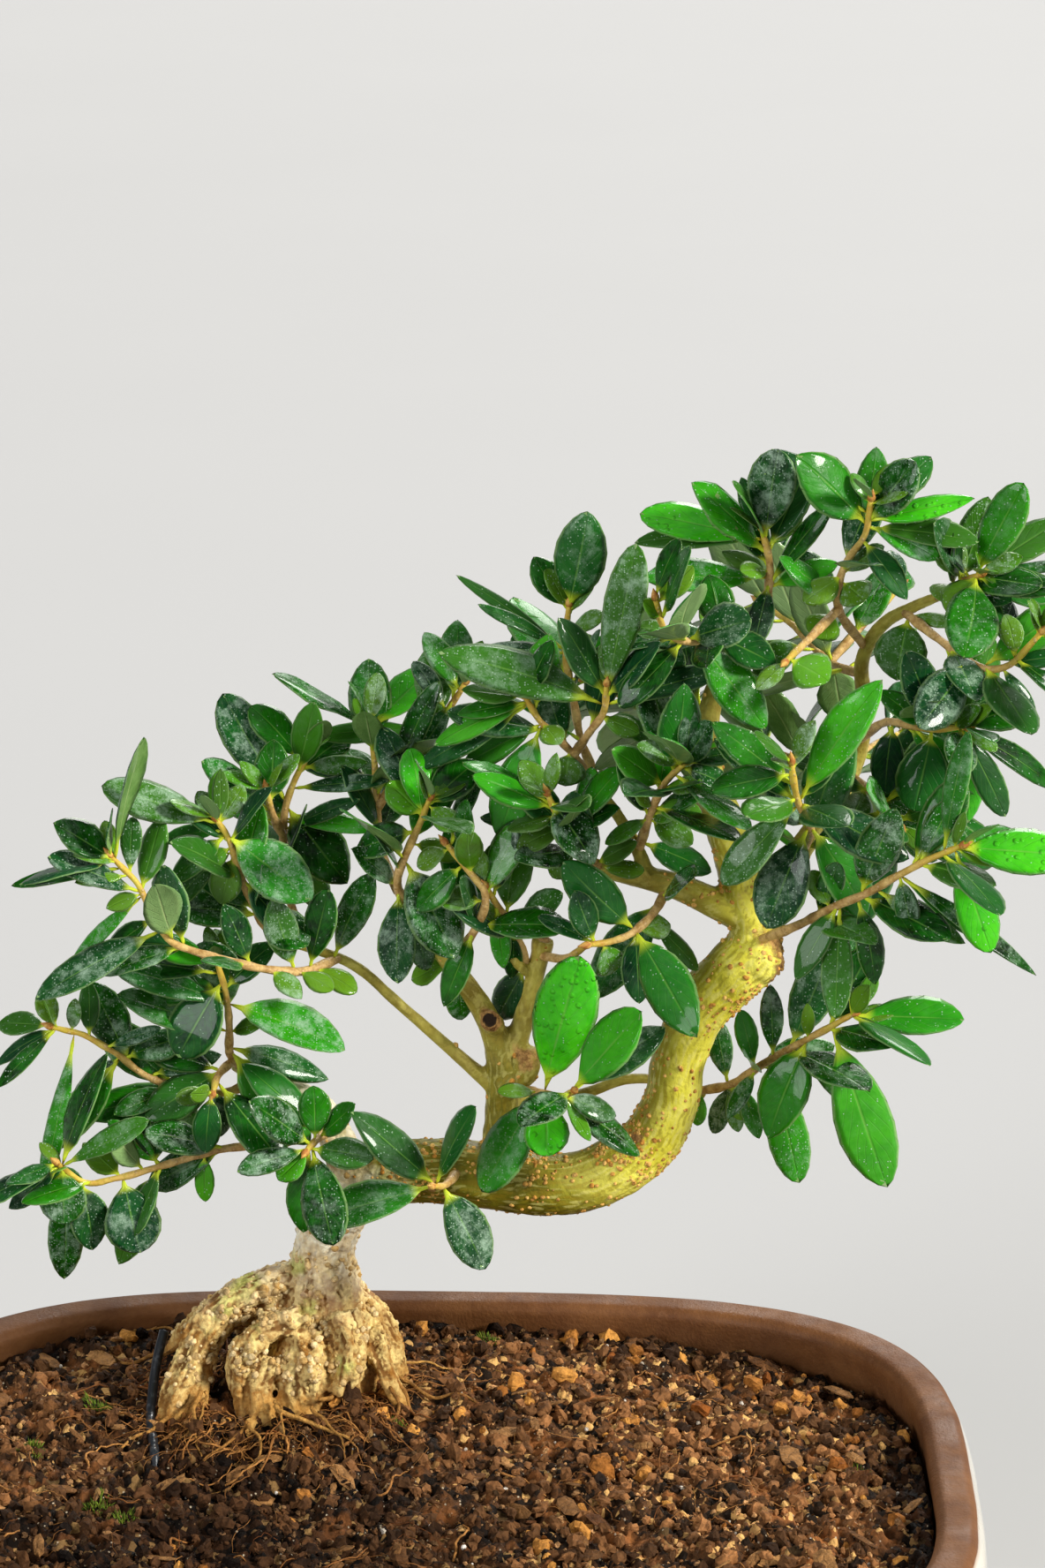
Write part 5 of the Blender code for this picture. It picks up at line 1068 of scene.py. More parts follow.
# The stalk: its share of a leaf's length, and half its thickness
STALK_SHARE = 0.11
STALK_HALF = 0.42
BLADE_HALF_THICK = 0.17
BLADE_FULL = 1.06
TWIG_ROUND = 8


def deepened(twigs):
    """A spray's twigs, with their depths drawn further out from the limb that carries them."""
    foot = twigs[0][0][2]
    return [[(across, down, foot + (depth - foot) * DEPTH_SPREAD) for across, down, depth in twig] for twig in twigs]


def spans_of(route):
    """The lengths between a route's points."""
    return [(end - start).length for start, end in zip(route, route[1:])]


def nearest_on_route(route, point):
    """The distance from a point to a route, and the nearest place on it, kept in from its ends."""
    found = []
    for start, end in zip(route, route[1:]):
        span = end - start
        margin = min(0.4, ROOT_SUNK / span.length)
        place = start + span * max(margin, min(1.0 - margin, (point - start).dot(span) / span.length_squared))
        found.append(((point - place).length, place))
    return min(found, key=lambda pair: pair[0])


def drawn_leaves(leaves, twigs, routes, rng):
    """Leaves that the front drawing gives, as root, tip, breadth, normal and droop."""
    eye = Vector(EYE)
    wanted = []
    for across, down, tip_across, tip_down, breadth, nearer in leaves:
        depth = min((math.hypot(point[0] - across, point[1] - down), point[2]) for twig in twigs for point in twig)[1]
        aim = Vector(drawn([(across, down, depth)])[0])
        root = min((nearest_on_route(route, aim) for route in routes), key=lambda pair: pair[0])[1]
        tip = Vector(drawn([(tip_across, tip_down, root.y - nearer)])[0])
        normal = ((eye - tip).normalized() + Vector((0, 0, 0.9))).normalized()
        wanted.append((root, tip, breadth, normal, rng.uniform(*LEAF_DROOP)))
    return wanted


def free_leaves(routes, count, rng):
    """Leaves in crossed pairs along each twig, closer and wider towards its end."""
    wanted = []
    total = sum(span for route in routes for span in spans_of(route))
    pairs = max(1, (count + 1) // 2)
    for number in range(pairs * 2):
        reach = total * (1.0 - 0.8 * ((number // 2) / pairs) ** 1.2)
        for route in reversed(routes):
            lengths = spans_of(route)
            if reach <= sum(lengths) or route is routes[0]:
                break
            reach -= sum(lengths)
        reach = min(reach, sum(lengths))
        for start, end, span in zip(route, route[1:], lengths):
            if reach <= span:
                break
            reach -= span
        direction = (end - start).normalized()
        root = start + direction * max(ROOT_SUNK, min(reach, span - ROOT_SUNK))
        across = direction.orthogonal().normalized()
        turn = (number // 2) * 1.65 + (number % 2) * math.pi + rng.uniform(-0.4, 0.4)
        outward = Matrix.Rotation(turn, 3, direction) @ across
        heading = (outward + direction * rng.uniform(0.25, 0.8) + Vector((0, 0, 0.15))).normalized()
        length = rng.uniform(*LEAF_LENGTH)
        breadth = length * rng.uniform(*LEAF_BREADTH)
        normal = (direction + Vector((0, 0, 1.2))).normalized()
        wanted.append((root, root + heading * length, breadth, normal, rng.uniform(*LEAF_DROOP)))
    return wanted[:count]


def solid_points(node):
    """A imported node's points in drawing millimetres: a search tree, and its box a little widened."""
    places = [vertex.co / MM - Vector(ORIGIN) for vertex in frame["nodes"][node].data.vertices]
    tree = KDTree(len(places))
    for index, place in enumerate(places):
        tree.insert(place, index)
    tree.balance()
    return tree, np.min(places, axis=0) - 1.0, np.max(places, axis=0) + 1.0


def bent_to_solid(leaf, tree):
    """The leaf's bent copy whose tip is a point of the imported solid, or None where the solid has none."""
    root, tip, breadth, normal, droop = leaf
    away = (tip - Vector(EYE)).normalized()
    for shift in BENT_BY:
        for size in (1.0, 0.85):
            span = (tip + away * shift - root) * size
            along = span.normalized()
            square = (normal - along * normal.dot(along)).normalized()
            solid_tip = root + span - square * (0.45 * droop * span.length)
            if tree.find(solid_tip)[2] < FOUND_WITHIN:
                return root, root + span, breadth * size, square, droop
    return None


def spray_leaves(name, leaves, twigs, routes, count, tree):
    """A spray's leaves as the solid has them, each with how bright it is painted as lit through."""
    rng = np.random.default_rng(LEAF_SEED + sum(ord(letter) for letter in "spray_" + name))
    wanted = drawn_leaves(leaves, twigs, routes, rng)
    wanted += free_leaves(routes, max(0, count - len(wanted)), rng)
    bright = PAINTED_BACKLIT_LEAVES.get(name, {})
    found = [(bent_to_solid(leaf, tree), bright.get(number, 0.0)) for number, leaf in enumerate(wanted)]
    return [(*leaf, brightness) for leaf, brightness in found if leaf]


def filling_leaves(routes, pairs, rng):
    """Leaves in pairs between the solid's own: new ones at each twig's tip, and grown ones below them."""
    small = []
    for route in routes:
        spans = spans_of(route)
        for share, length in pairs:
            reach, number = share * sum(spans), 0
            while number < len(spans) - 1 and reach > spans[number]:
                reach -= spans[number]
                number += 1
            direction = (route[number + 1] - route[number]).normalized()
            root = route[number] + direction * min(reach, spans[number])
            turn = rng.uniform(0, math.tau)
            for side in (0.0, math.pi):
                if rng.random() < 0.25:
                    continue
                outward = Matrix.Rotation(turn + side, 3, direction) @ direction.orthogonal().normalized()
                heading = (outward + direction * rng.uniform(0.7, 1.8)).normalized()
                size = length * rng.uniform(0.75, 1.2)
                facing = direction + outward * 0.4 + Vector((0, -0.5, 0.7))
                small.append((root, root + heading * size, size * rng.uniform(0.36, 0.5), facing.normalized(), 0.12,
                              0.3 * rng.random()))
    return small


def blades(leaves, rng):
    """Every blade of a spray as one grid of points: leaves x rows x places round the blade.

    Across the blade runs u = cos(a), and its two skins lie at +- thickness * sin(a). The half-breadth is
    s^p (1 - s)^q over its own peak, with s from the stalk's end to the tip, p for the taper to the stalk
    and q for the round tip. The blade arches along its length, folds up beside the midrib, rolls under at
    its margin, twists, and waves a little.
    """
    count = len(leaves)
    root, tip, breadth, normal, droop = (np.array([leaf[part] for leaf in leaves], dtype=float) for part in range(5))
    length = np.linalg.norm(tip - root, axis=1)
    along = (tip - root) / length[:, None]
    normal = unit(normal - along * (normal * along).sum(axis=1, keepdims=True))
    side = np.cross(along, normal)

    def each(values):
        return values[:, None, None]

    def draw(low, high):
        return each(rng.uniform(low, high, count))

    t, angle = BLADE_ROWS[:, None], round_angles(BLADE_SIDES)
    u, skin = np.cos(angle), np.sin(angle)
    s = np.clip((t - STALK_SHARE) / (1 - STALK_SHARE), 0, 1)
    taper, blunt = draw(0.7, 0.95), draw(0.6, 0.86)
    peak = taper / (taper + blunt)
    half = (s / peak) ** taper * ((1 - s) / (1 - peak)) ** blunt * each(BLADE_FULL * breadth / 2)
    stalk = STALK_HALF * (1 - ease(s, 0.0, 0.3)) * each(np.minimum(1.0, length / 16.0))
    ends = (t > 0) & (t < 1)
    half = np.maximum(half, stalk) * ends
    thick = np.maximum(BLADE_HALF_THICK * (1 - ease(t, 0.85, 1.0) * 0.7), stalk) * ends
    across = u * half
    rise = -each(droop * length) * (t * t - 0.55 * t)
    rise = rise + draw(0.04, 0.30) * np.abs(across) * ease(s, 0.0, 0.25)
    rise = rise - draw(0.05, 0.26) * half * u ** 4
    rise = rise + skin * thick * (1 - 0.35 * u ** 2) - 0.14 * (np.abs(u) < 0.1) * (skin > 0) * ease(s, 0.02, 0.2)
    wave = draw(0.0, 0.035) * each(breadth) * np.sin(math.tau * (t * draw(1.0, 2.2) + draw(0, 1)))
    rise = rise + wave * np.abs(u)
    twist = draw(-0.38, 0.38) * (t - 0.35)
    bend = draw(-0.07, 0.07) * each(length) * (t * t - t)
    across, rise = across * np.cos(twist) - rise * np.sin(twist) + bend, rise * np.cos(twist) + across * np.sin(twist)
    points = (each(root) + each(along) * (t * each(length))[..., None] + each(side) * across[..., None]
              + each(normal) * rise[..., None])
    size = len(BLADE_ROWS) * BLADE_SIDES
    uv = np.tile(joined(u * 0.5 + 0.5, t).reshape(-1, 2), (count, 1))
    faces = repeated(grid_faces(len(BLADE_ROWS), BLADE_SIDES), count, size)
    return points.reshape(-1, 3), faces, uv, np.tile(skin, count * len(BLADE_ROWS))


def make_twigs(name, routes, rng):
    """A spray's twigs: tapering tubes with a swelling at each joint, and a pointed bud at each tip."""
    shapes = []
    for route in routes:
        line = smooth_route([tuple(point) for point in route], 5)
        place = np.linspace(0, 1, len(line))
        joints = np.exp(-(((place * (len(route) - 1)) % 1.0 - 0.5) / 0.13) ** 2)
        radii = np.interp(place, (0, 1), TWIG_RADII) * (0.9 + 0.28 * joints) * (1 + 0.08 * noise(line, 4.0, 71))
        line = line + 0.16 * joined(*(noise(line, 9.0, seed) for seed in (72, 73, 74))) * place[:, None]
        points, faces, reach = sweep(line, radii, TWIG_ROUND)
        shapes.append((points, faces, reach, 0 * reach))
        heading = unit(line[-1] - line[-2])
        bud = line[-1] + heading * np.linspace(-0.6, rng.uniform(1.8, 3.0), 6)[:, None]
        points, faces, reach = sweep(bud, np.array((0.5, 0.85, 0.9, 0.66, 0.34, 0.08)), 7)
        shapes.append((points, faces, 0 * reach + 1, 0 * reach + 1))
    points, faces, reach, bud = stack(shapes)
    add_piece(name + "_twigs", points, faces, "bark", reach=reach, bud=bud)


# Leaves that the front drawing gives besides the solid's: root, tip, breadth, and how much nearer the tip is
EXTRA_LEAVES = {
    "left_far": [(74, 218, 84, 198, 7.5, 3), (70, 219.5, 74, 202, 7, 5), (66, 219.8, 62, 204, 7.5, 4),
        (73, 218.5, 81, 224.5, 5.5, 2), (67, 219.8, 75.5, 224, 5, 4), (61, 219.5, 68.5, 226, 5, 4),
        (56, 219, 51, 205, 6.5, 3)],
    "left_top": [(51.5, 190, 38, 200, 6, 3), (53, 193, 44.5, 196, 4, 4), (55, 199, 66, 211, 6.5, 2)],
    "left_upright": [(52, 233, 27, 224.5, 9, 4), (51, 228, 26, 218, 7.5, 6), (52, 234, 60, 231, 4.5, 3)],
    "left_tall": [(64.5, 184.5, 85, 187, 5, 3), (64.3, 188, 81, 180.5, 4.5, 2)],
    "mid_left": [(92, 206, 97, 220, 6, 2), (90, 201, 80, 192, 6, 3)],
    "mid_low": [(101, 219, 105, 231.5, 6.5, -3), (118.5, 219.5, 112, 231, 8, -4), (112, 205, 114.5, 220, 4.5, -3),
        (103, 217.5, 93, 222, 6, -2)],
    "mid_top": [(119, 158.5, 103.5, 161.5, 4.5, 3)],
    "elbow_left": [(134, 194.5, 144, 190.5, 5.5, 3), (136, 196.5, 146, 197, 4.5, 2), (129, 189, 140, 182.5, 5, 4)],
    "elbow_up": [(145.5, 190, 161.5, 197, 7, 2), (147, 186, 157, 191, 6.5, 4), (148, 183, 159, 184, 6, 3),
        (150, 179, 159, 177, 5, 4), (155, 173, 144.5, 168.5, 5.5, 3)],
    "elbow_low": [(148, 207, 159, 219.5, 5, -3)],
    "arch_front": [(128, 248, 140, 252.5, 6, -2)],
    "right_low": [(164, 246, 167.5, 256.5, 4, 3), (168, 244.5, 172.5, 258, 4.5, 2), (171, 243, 164.5, 253.5, 4, 4),
        (160, 246.8, 158, 255, 3.5, 4), (176, 239.5, 174.5, 223.5, 5, 3), (170, 242.5, 168, 229, 5, 2)],
    "elbow_right": [(197, 202, 219, 213.5, 5.5, 4)],
    "crown_mid": [(196.5, 119, 213, 126, 6.5, 3)],
}


def make_sprays():
    """Every spray: the solid's leaves as fine blades, the young leaves at its tips, and its twigs."""
    for number, (name, (twigs, leaves, *count)) in enumerate(SPRAYS.items()):
        twigs = deepened(twigs)
        routes = [[Vector(point) for point in drawn(twig)] for twig in twigs]
        tree, low, high = solid_points("spray_" + name)
        leaves = spray_leaves(name, leaves, twigs, routes, *(count or [SPRAY_LEAVES]), tree)
        rng = np.random.default_rng(SPRAY_SEED + number)
        extra = drawn_leaves(EXTRA_LEAVES.get(name, []), twigs, routes, rng)
        leaves += [(*leaf, 0.25 * rng.random()) for leaf in extra]
        pairs = () if name in OPEN_SPRAYS else FILLING_PAIRS
        leaves += [leaf for leaf in filling_leaves(routes, pairs, rng)
                   if (np.array(leaf[1]) > low).all() and (np.array(leaf[1]) < high).all()]
        points, faces, uv, skin = blades(leaves, rng)
        bright = np.array([leaf[5] for leaf in leaves])
        small = np.array([(leaf[1] - leaf[0]).length < 12.0 for leaf in leaves])
        # Each leaf's tint: a random tone of its own, raised for the chosen leaves to a painted backlight.
        looks = {"tint_and_backlight": np.maximum(bright, rng.beta(1.5, 5.5, len(leaves))),
                 "dust": rng.random(len(leaves)) * (1 - 0.8 * (bright > 0.3)),
                 "young": small * rng.uniform(0.3, 1.0, len(leaves)), "tone": rng.random(len(leaves))}
        looks = {label: np.repeat(values, len(BLADE_ROWS) * BLADE_SIDES) for label, values in looks.items()}
        add_piece(name + "_leaves", np.clip(points, BOX_LOW, BOX_HIGH), faces, "leaf", "spray_" + name, uv=uv,
                  skin=skin, **looks)
        make_twigs(name, routes, rng)


# Node trees, and the effects that several finishes share as node groups

class Nodes:
    """Short ways to add and link nodes in one tree, whose patterns are laid out by its place socket."""

    def __init__(self, tree, place=None):
        self.tree = tree
        self.place = place or self.add("TexCoord")["Object"]

    def add(self, kind, inputs=None, **settings):
        """Adds a shader node with these settings and input values, and gives its outputs."""
        node = self.tree.nodes.new("ShaderNode" + kind)
        for label, value in settings.items():
            setattr(node, label, value)
        for label, value in (inputs or {}).items():
            self.feed(node.inputs[label], value)
        return node.outputs

    def feed(self, socket, value):
        """Links a socket to another or sets it. Three numbers are a colour."""
        if isinstance(value, bpy.types.NodeSocket):
            self.tree.links.new(value, socket)
        else:
            socket.default_value = (*value, 1) if isinstance(value, tuple) else value

    def maths(self, operation, *values, clamp=False):
        return self.add("Math", dict(enumerate(values)), operation=operation, use_clamp=clamp)[0]

    plus = partialmethod(maths, "ADD")
    minus = partialmethod(maths, "SUBTRACT")
    times = partialmethod(maths, "MULTIPLY")
    times_plus = partialmethod(maths, "MULTIPLY_ADD")
    size = partialmethod(maths, "ABSOLUTE")

    def noise(self, scale, detail=3, roughness=0.55):
        inputs = {"Vector": self.place, "Scale": scale, "Detail": detail, "Roughness": roughness}
        return self.add("TexNoise", inputs)["Fac"]

    def ragged(self, value, scale, amount, detail=4):
        """The value, moved up and down by noise of this scale: by up to about half the amount."""
        return self.times_plus(self.minus(self.noise(scale, detail), 0.5), amount, value)

    def cells(self, scale, feature="F1"):
        return self.add("TexVoronoi", {"Vector": self.place, "Scale": scale}, feature=feature)

    def step(self, value, low, high, out_low=0, out_high=1):
        """A smooth step from out_low at low to out_high at high."""
        inputs = dict(enumerate((value, low, high, out_low, out_high)))
        return self.add("MapRange", inputs, interpolation_type="SMOOTHSTEP")[0]

    def fall(self, value, low, high):
        """A smooth step from 1 at low to 0 at high."""
        return self.step(value, low, high, 1, 0)

    def mix(self, factor, first, second, blend="MIX"):
        return self.add("Mix", {0: factor, 6: first, 7: second}, data_type="RGBA", blend_type=blend)[2]

    def split(self, value, kind="XYZ"):
        return self.add("Separate" + kind, {0: value})

    def attributes(self, *labels):
        return [self.add("Attribute", attribute_name=label)["Fac"] for label in labels]

    def group(self, name, **values):
        return self.add("Group", {"Vector": self.place, **values}, node_tree=GROUPS[name])


def new_group(name, numbers, colours=(), **outputs):
    """The nodes, inputs and outputs of a new group: a Vector, these numbers and colours, and outputs by kind."""
    group = bpy.data.node_groups.new(name, "ShaderNodeTree")

    def socket(label, side, kind):
        return group.interface.new_socket(label, in_out=side, socket_type="NodeSocket" + kind)

    socket("Vector", "INPUT", "Vector")
    for label, value in numbers.items():
        socket(label, "INPUT", "Float").default_value = value
    for label in colours:
        socket(label, "INPUT", "Color")
    for label, kind in outputs.items():
        socket(label, "OUTPUT", kind)
    given, result = group.nodes.new("NodeGroupInput").outputs, group.nodes.new("NodeGroupOutput").inputs
    return Nodes(group, given["Vector"]), given, result


def mottle_group():
    """Mottle: two sizes of soft blotches between two colours, with how far they differ as Contrast."""
    make, given, result = new_group("Mottle", {"Scale": 100, "Contrast": 1}, ("First", "Second"), Color="Color")
    large, fine = make.noise(given["Scale"], 4), make.noise(make.times(given["Scale"], 4.7))
    both = make.plus(make.times(large, 0.68), make.times(fine, 0.32))
    spread = make.times_plus(make.minus(both, 0.5), given["Contrast"], 0.5)
    make.feed(result["Color"], make.mix(make.step(spread, 0.22, 0.78), given["First"], given["Second"]))
    return make.tree


def speckle_group():
    """Speckle: small round dots that come in drifts. Cover is from 0, none, to 1, thick."""
    make, given, result = new_group("Speckle", {"Scale": 1000, "Cover": 0.5}, Mask="Float")
    dots = make.cells(given["Scale"])
    drift = make.noise(make.times(given["Scale"], 0.11))
    reach = make.times(make.times(given["Cover"], drift), 1.7)
    chosen = make.maths("LESS_THAN", make.split(dots["Color"], "Color")[0], reach)
    make.feed(result["Mask"], make.times(chosen, make.fall(dots["Distance"], 0.18, 0.42)))
    return make.tree


def grit_group():
    """Grit: a rough height from grains of two sizes and the cracks between them."""
    make, given, result = new_group("Grit", {"Scale": 600, "Cracks": 0.5}, Height="Float", Crack="Float")
    grains = make.noise(given["Scale"], 6, 0.62)
    edges = make.cells(make.times(given["Scale"], 0.45), "DISTANCE_TO_EDGE")
    crack = make.fall(edges["Distance"], 0, 0.16)
    make.feed(result["Height"], make.minus(grains, make.times(crack, given["Cracks"])))
    make.feed(result["Crack"], crack)
    return make.tree


# Half the width and depth of the plan outside which the soil by the wall is darkened, as painted shade from the rim
# and as damp, in metres
WALL_SHADE_HALF = (0.112, 0.077)


def wet_dry_and_wall_shade_group():
    """WetDryAndWallShade: how the soil's colours lighten from the wet soil by the tree to the dry soil away
    from it, with a dark band along the pot's wall that is painted shade from the rim, and damp."""
    make, given, result = new_group("WetDryAndWallShade", {}, Color="Color")
    x, y, _ = make.split(given["Vector"])
    off_tree = make.times_plus(y, 0.45, make.size(make.plus(x, 0.045)))
    patches = make.ragged(0, 55, 0.13)
    dry = make.step(make.plus(off_tree, patches), -0.015, 0.1)
    tone = make.mix(dry, (1.25, 1.4, 1.5), (6, 6.9, 6.8))
    away = [make.maths("POWER", make.size(make.maths("DIVIDE", make.minus(part, middle), half)), PLAN_POWER)
            for part, middle, half in zip((x, y), ORIGIN * MM, WALL_SHADE_HALF)]
    # Painted shade: a dark band along the pot's wall, standing for the rim's shadow, with some damp.
    wall = make.times_plus(patches, 3, make.plus(*away))
    make.feed(result["Color"], make.mix(make.step(wall, 0.55, 0.9, 0, 0.88), tone, (0.5, 0.5, 0.6)))
    return make.tree


GROUPS = {"mottle": mottle_group(), "speckle": speckle_group(), "grit": grit_group(), "wet_dry_and_wall_shade": wet_dry_and_wall_shade_group()}


class Finish(Nodes):
    """A material's tree: constants go on its shader, and its patterns lie in object coordinates."""

    def __init__(self, name, **constants):
        self.material = bpy.data.materials.new(name)
        self.material.use_nodes = True
        super().__init__(self.material.node_tree)
        self.shader = self.tree.nodes["Principled BSDF"].inputs
        for label, value in constants.items():
            self.shader[label.replace("_", " ")].default_value = value

    def blotched(self, scale, contrast, first, second):
        return self.group("mottle", Scale=scale, Contrast=contrast, First=first, Second=second)["Color"]

    def speckled(self, scale, cover):
        return self.group("speckle", Scale=scale, Cover=cover)["Mask"]

    def shaded(self, base, shade):
        return self.mix(1, base, shade, "MULTIPLY")

    def done(self, base, roughness, height, depth, strength):
        """The material, its shader fed a colour, a roughness and a relief this many millimetres deep."""
        relief = self.add("Bump", {"Height": height, "Distance": depth * MM, "Strength": strength})[0]
        for label, value in (("Base Color", base), ("Roughness", roughness), ("Normal", relief)):
            self.feed(self.shader[label], value)
        return self.material


def leaf_material():
    """Waxy leaf: dark green to bright green above, the brightest painted as lit through, pale below, with midrib,
    margin, dust, a pale film that is partly painted sheen, and drops.
    """
    make = Finish("waxy_leaf", Coat_Weight=0.2, Coat_Roughness=0.05, Specular_IOR_Level=0.07)
    across, along, _ = make.split(make.add("UVMap", uv_map="surface")[0])
    off_rib = make.size(make.minus(across, 0.5))
    tint_and_backlight, dust, young, skin, tone = make.attributes("tint_and_backlight", "dust", "young", "skin", "tone")

    dark = make.blotched(170, 1.7, (0.0003, 0.009, 0.0004), (0.008, 0.105, 0.003))
    dark = make.mix(make.step(tone, 0.3, 0.7, 0, 0.6), dark, (0.006, 0.046, 0.02))
    dark = make.mix(make.step(tone, 0.78, 0.98, 0, 0.75), dark, (0.045, 0.17, 0.006))
    # Painted light: vivid green for leaves lit through, and for leaves whose own tone is bright.
    bright = make.blotched(120, 1, (0.02, 0.33, 0.003), (0.08, 0.6, 0.01))
    top = make.mix(make.step(tint_and_backlight, 0.12, 0.95), dark, bright)
    top = make.mix(make.times(young, 0.65), top, (0.17, 0.36, 0.015))
    rib = make.times(make.fall(off_rib, 0.008, 0.03), make.step(along, 0.5, 0.98, 1, 0.15))
    side_veins = make.maths("SINE", make.times_plus(off_rib, -38, make.times(along, 52)))
    veins = make.times(make.step(side_veins, 0.82, 1), make.step(off_rib, 0.03, 0.12))
    top = make.mix(make.times(veins, 0.14), top, (0.09, 0.24, 0.04))
    top = make.mix(make.times(rib, 0.42), top, (0.17, 0.38, 0.06))
    top = make.mix(make.times(make.step(off_rib, 0.435, 0.48), 0.5), top, (0.34, 0.58, 0.2))

    under = make.blotched(240, 0.9, (0.07, 0.17, 0.03), (0.2, 0.34, 0.1))
    under = make.mix(make.step(tone, 0.3, 1, 0, 0.7), under, (0.26, 0.38, 0.17))
    under = make.mix(make.times(rib, 0.6), under, (0.42, 0.52, 0.22))

    upper = make.step(skin, -0.35, 0.25)
    # Painted sheen: a pale frosted film on dusty leaves, partly their bloom of dust, partly painted sheen.
    bloom_and_sheen = make.step(make.noise(230, 8, 0.8), 0.46, 0.68)
    bloom_and_sheen = make.times(bloom_and_sheen, make.step(dust, 0.3, 0.95, 0.05, 1))
    specks = make.speckled(1900, make.step(dust, 0.1, 1, 0.06, 0.45))
    dust_and_sheen = make.times(make.maths("MAXIMUM", make.times(bloom_and_sheen, 0.65), make.times(specks, 0.6)), upper)
    blade = make.mix(dust_and_sheen, make.mix(upper, under, top), (0.44, 0.61, 0.46))
    stalk = make.fall(along, STALK_SHARE * 0.9, STALK_SHARE * 2.1)
    stalk_tone = make.mix(make.step(along, 0, 0.08), (0.55, 0.36, 0.03), (0.58, 0.7, 0.04))

    drops = make.speckled(560, make.step(tint_and_backlight, 0.7, 0.95, 0, 0.85))
    shine = make.plus(make.step(tone, 0, 1, 0.22, 0.38), make.times(dust_and_sheen, 0.35))
    shine = make.maths("ADD", shine, make.times(make.minus(1, upper), 0.28), clamp=True)
    shine = make.times(shine, make.step(drops, 0, 0.4, 1, 0.2))
    relief = make.plus(make.times(make.noise(260, 4), 0.7), make.times(veins, -0.16))
    for mask, height in ((make.fall(off_rib, 0, 0.05), -0.5), (specks, 0.3), (drops, 1.7)):
        relief = make.plus(relief, make.times(mask, height))
    return make.done(make.mix(stalk, blade, stalk_tone), shine, relief, 0.5, 0.6)


def twig_material():
    """Young wood: brown bark that turns orange, then yellow-green, towards the tip, with raised dots."""
    make = Finish("twig_bark", Specular_IOR_Level=0.35)
    reach, bud = make.attributes("reach", "bud")
    brown = make.blotched(420, 1.5, (0.32, 0.165, 0.04), (0.72, 0.49, 0.19))
    green = make.blotched(300, 1.2, (0.56, 0.3, 0.03), (0.66, 0.58, 0.06))
    wood = make.mix(make.step(reach, 0.45, 1), brown, green)
    dots = make.speckled(900, 0.55)
    wood = make.mix(make.times(dots, 0.7), wood, (0.62, 0.42, 0.2))
    tip = make.mix(make.step(make.noise(700), 0.4, 0.65), (0.42, 0.15, 0.03), (0.66, 0.4, 0.09))
    height = make.plus(make.noise(900, 5, 0.6), make.times(dots, 0.6))
    return make.done(make.mix(bud, wood, tip), make.step(make.noise(500), 0.3, 0.7, 0.42, 0.68), height, 0.3, 0.8)


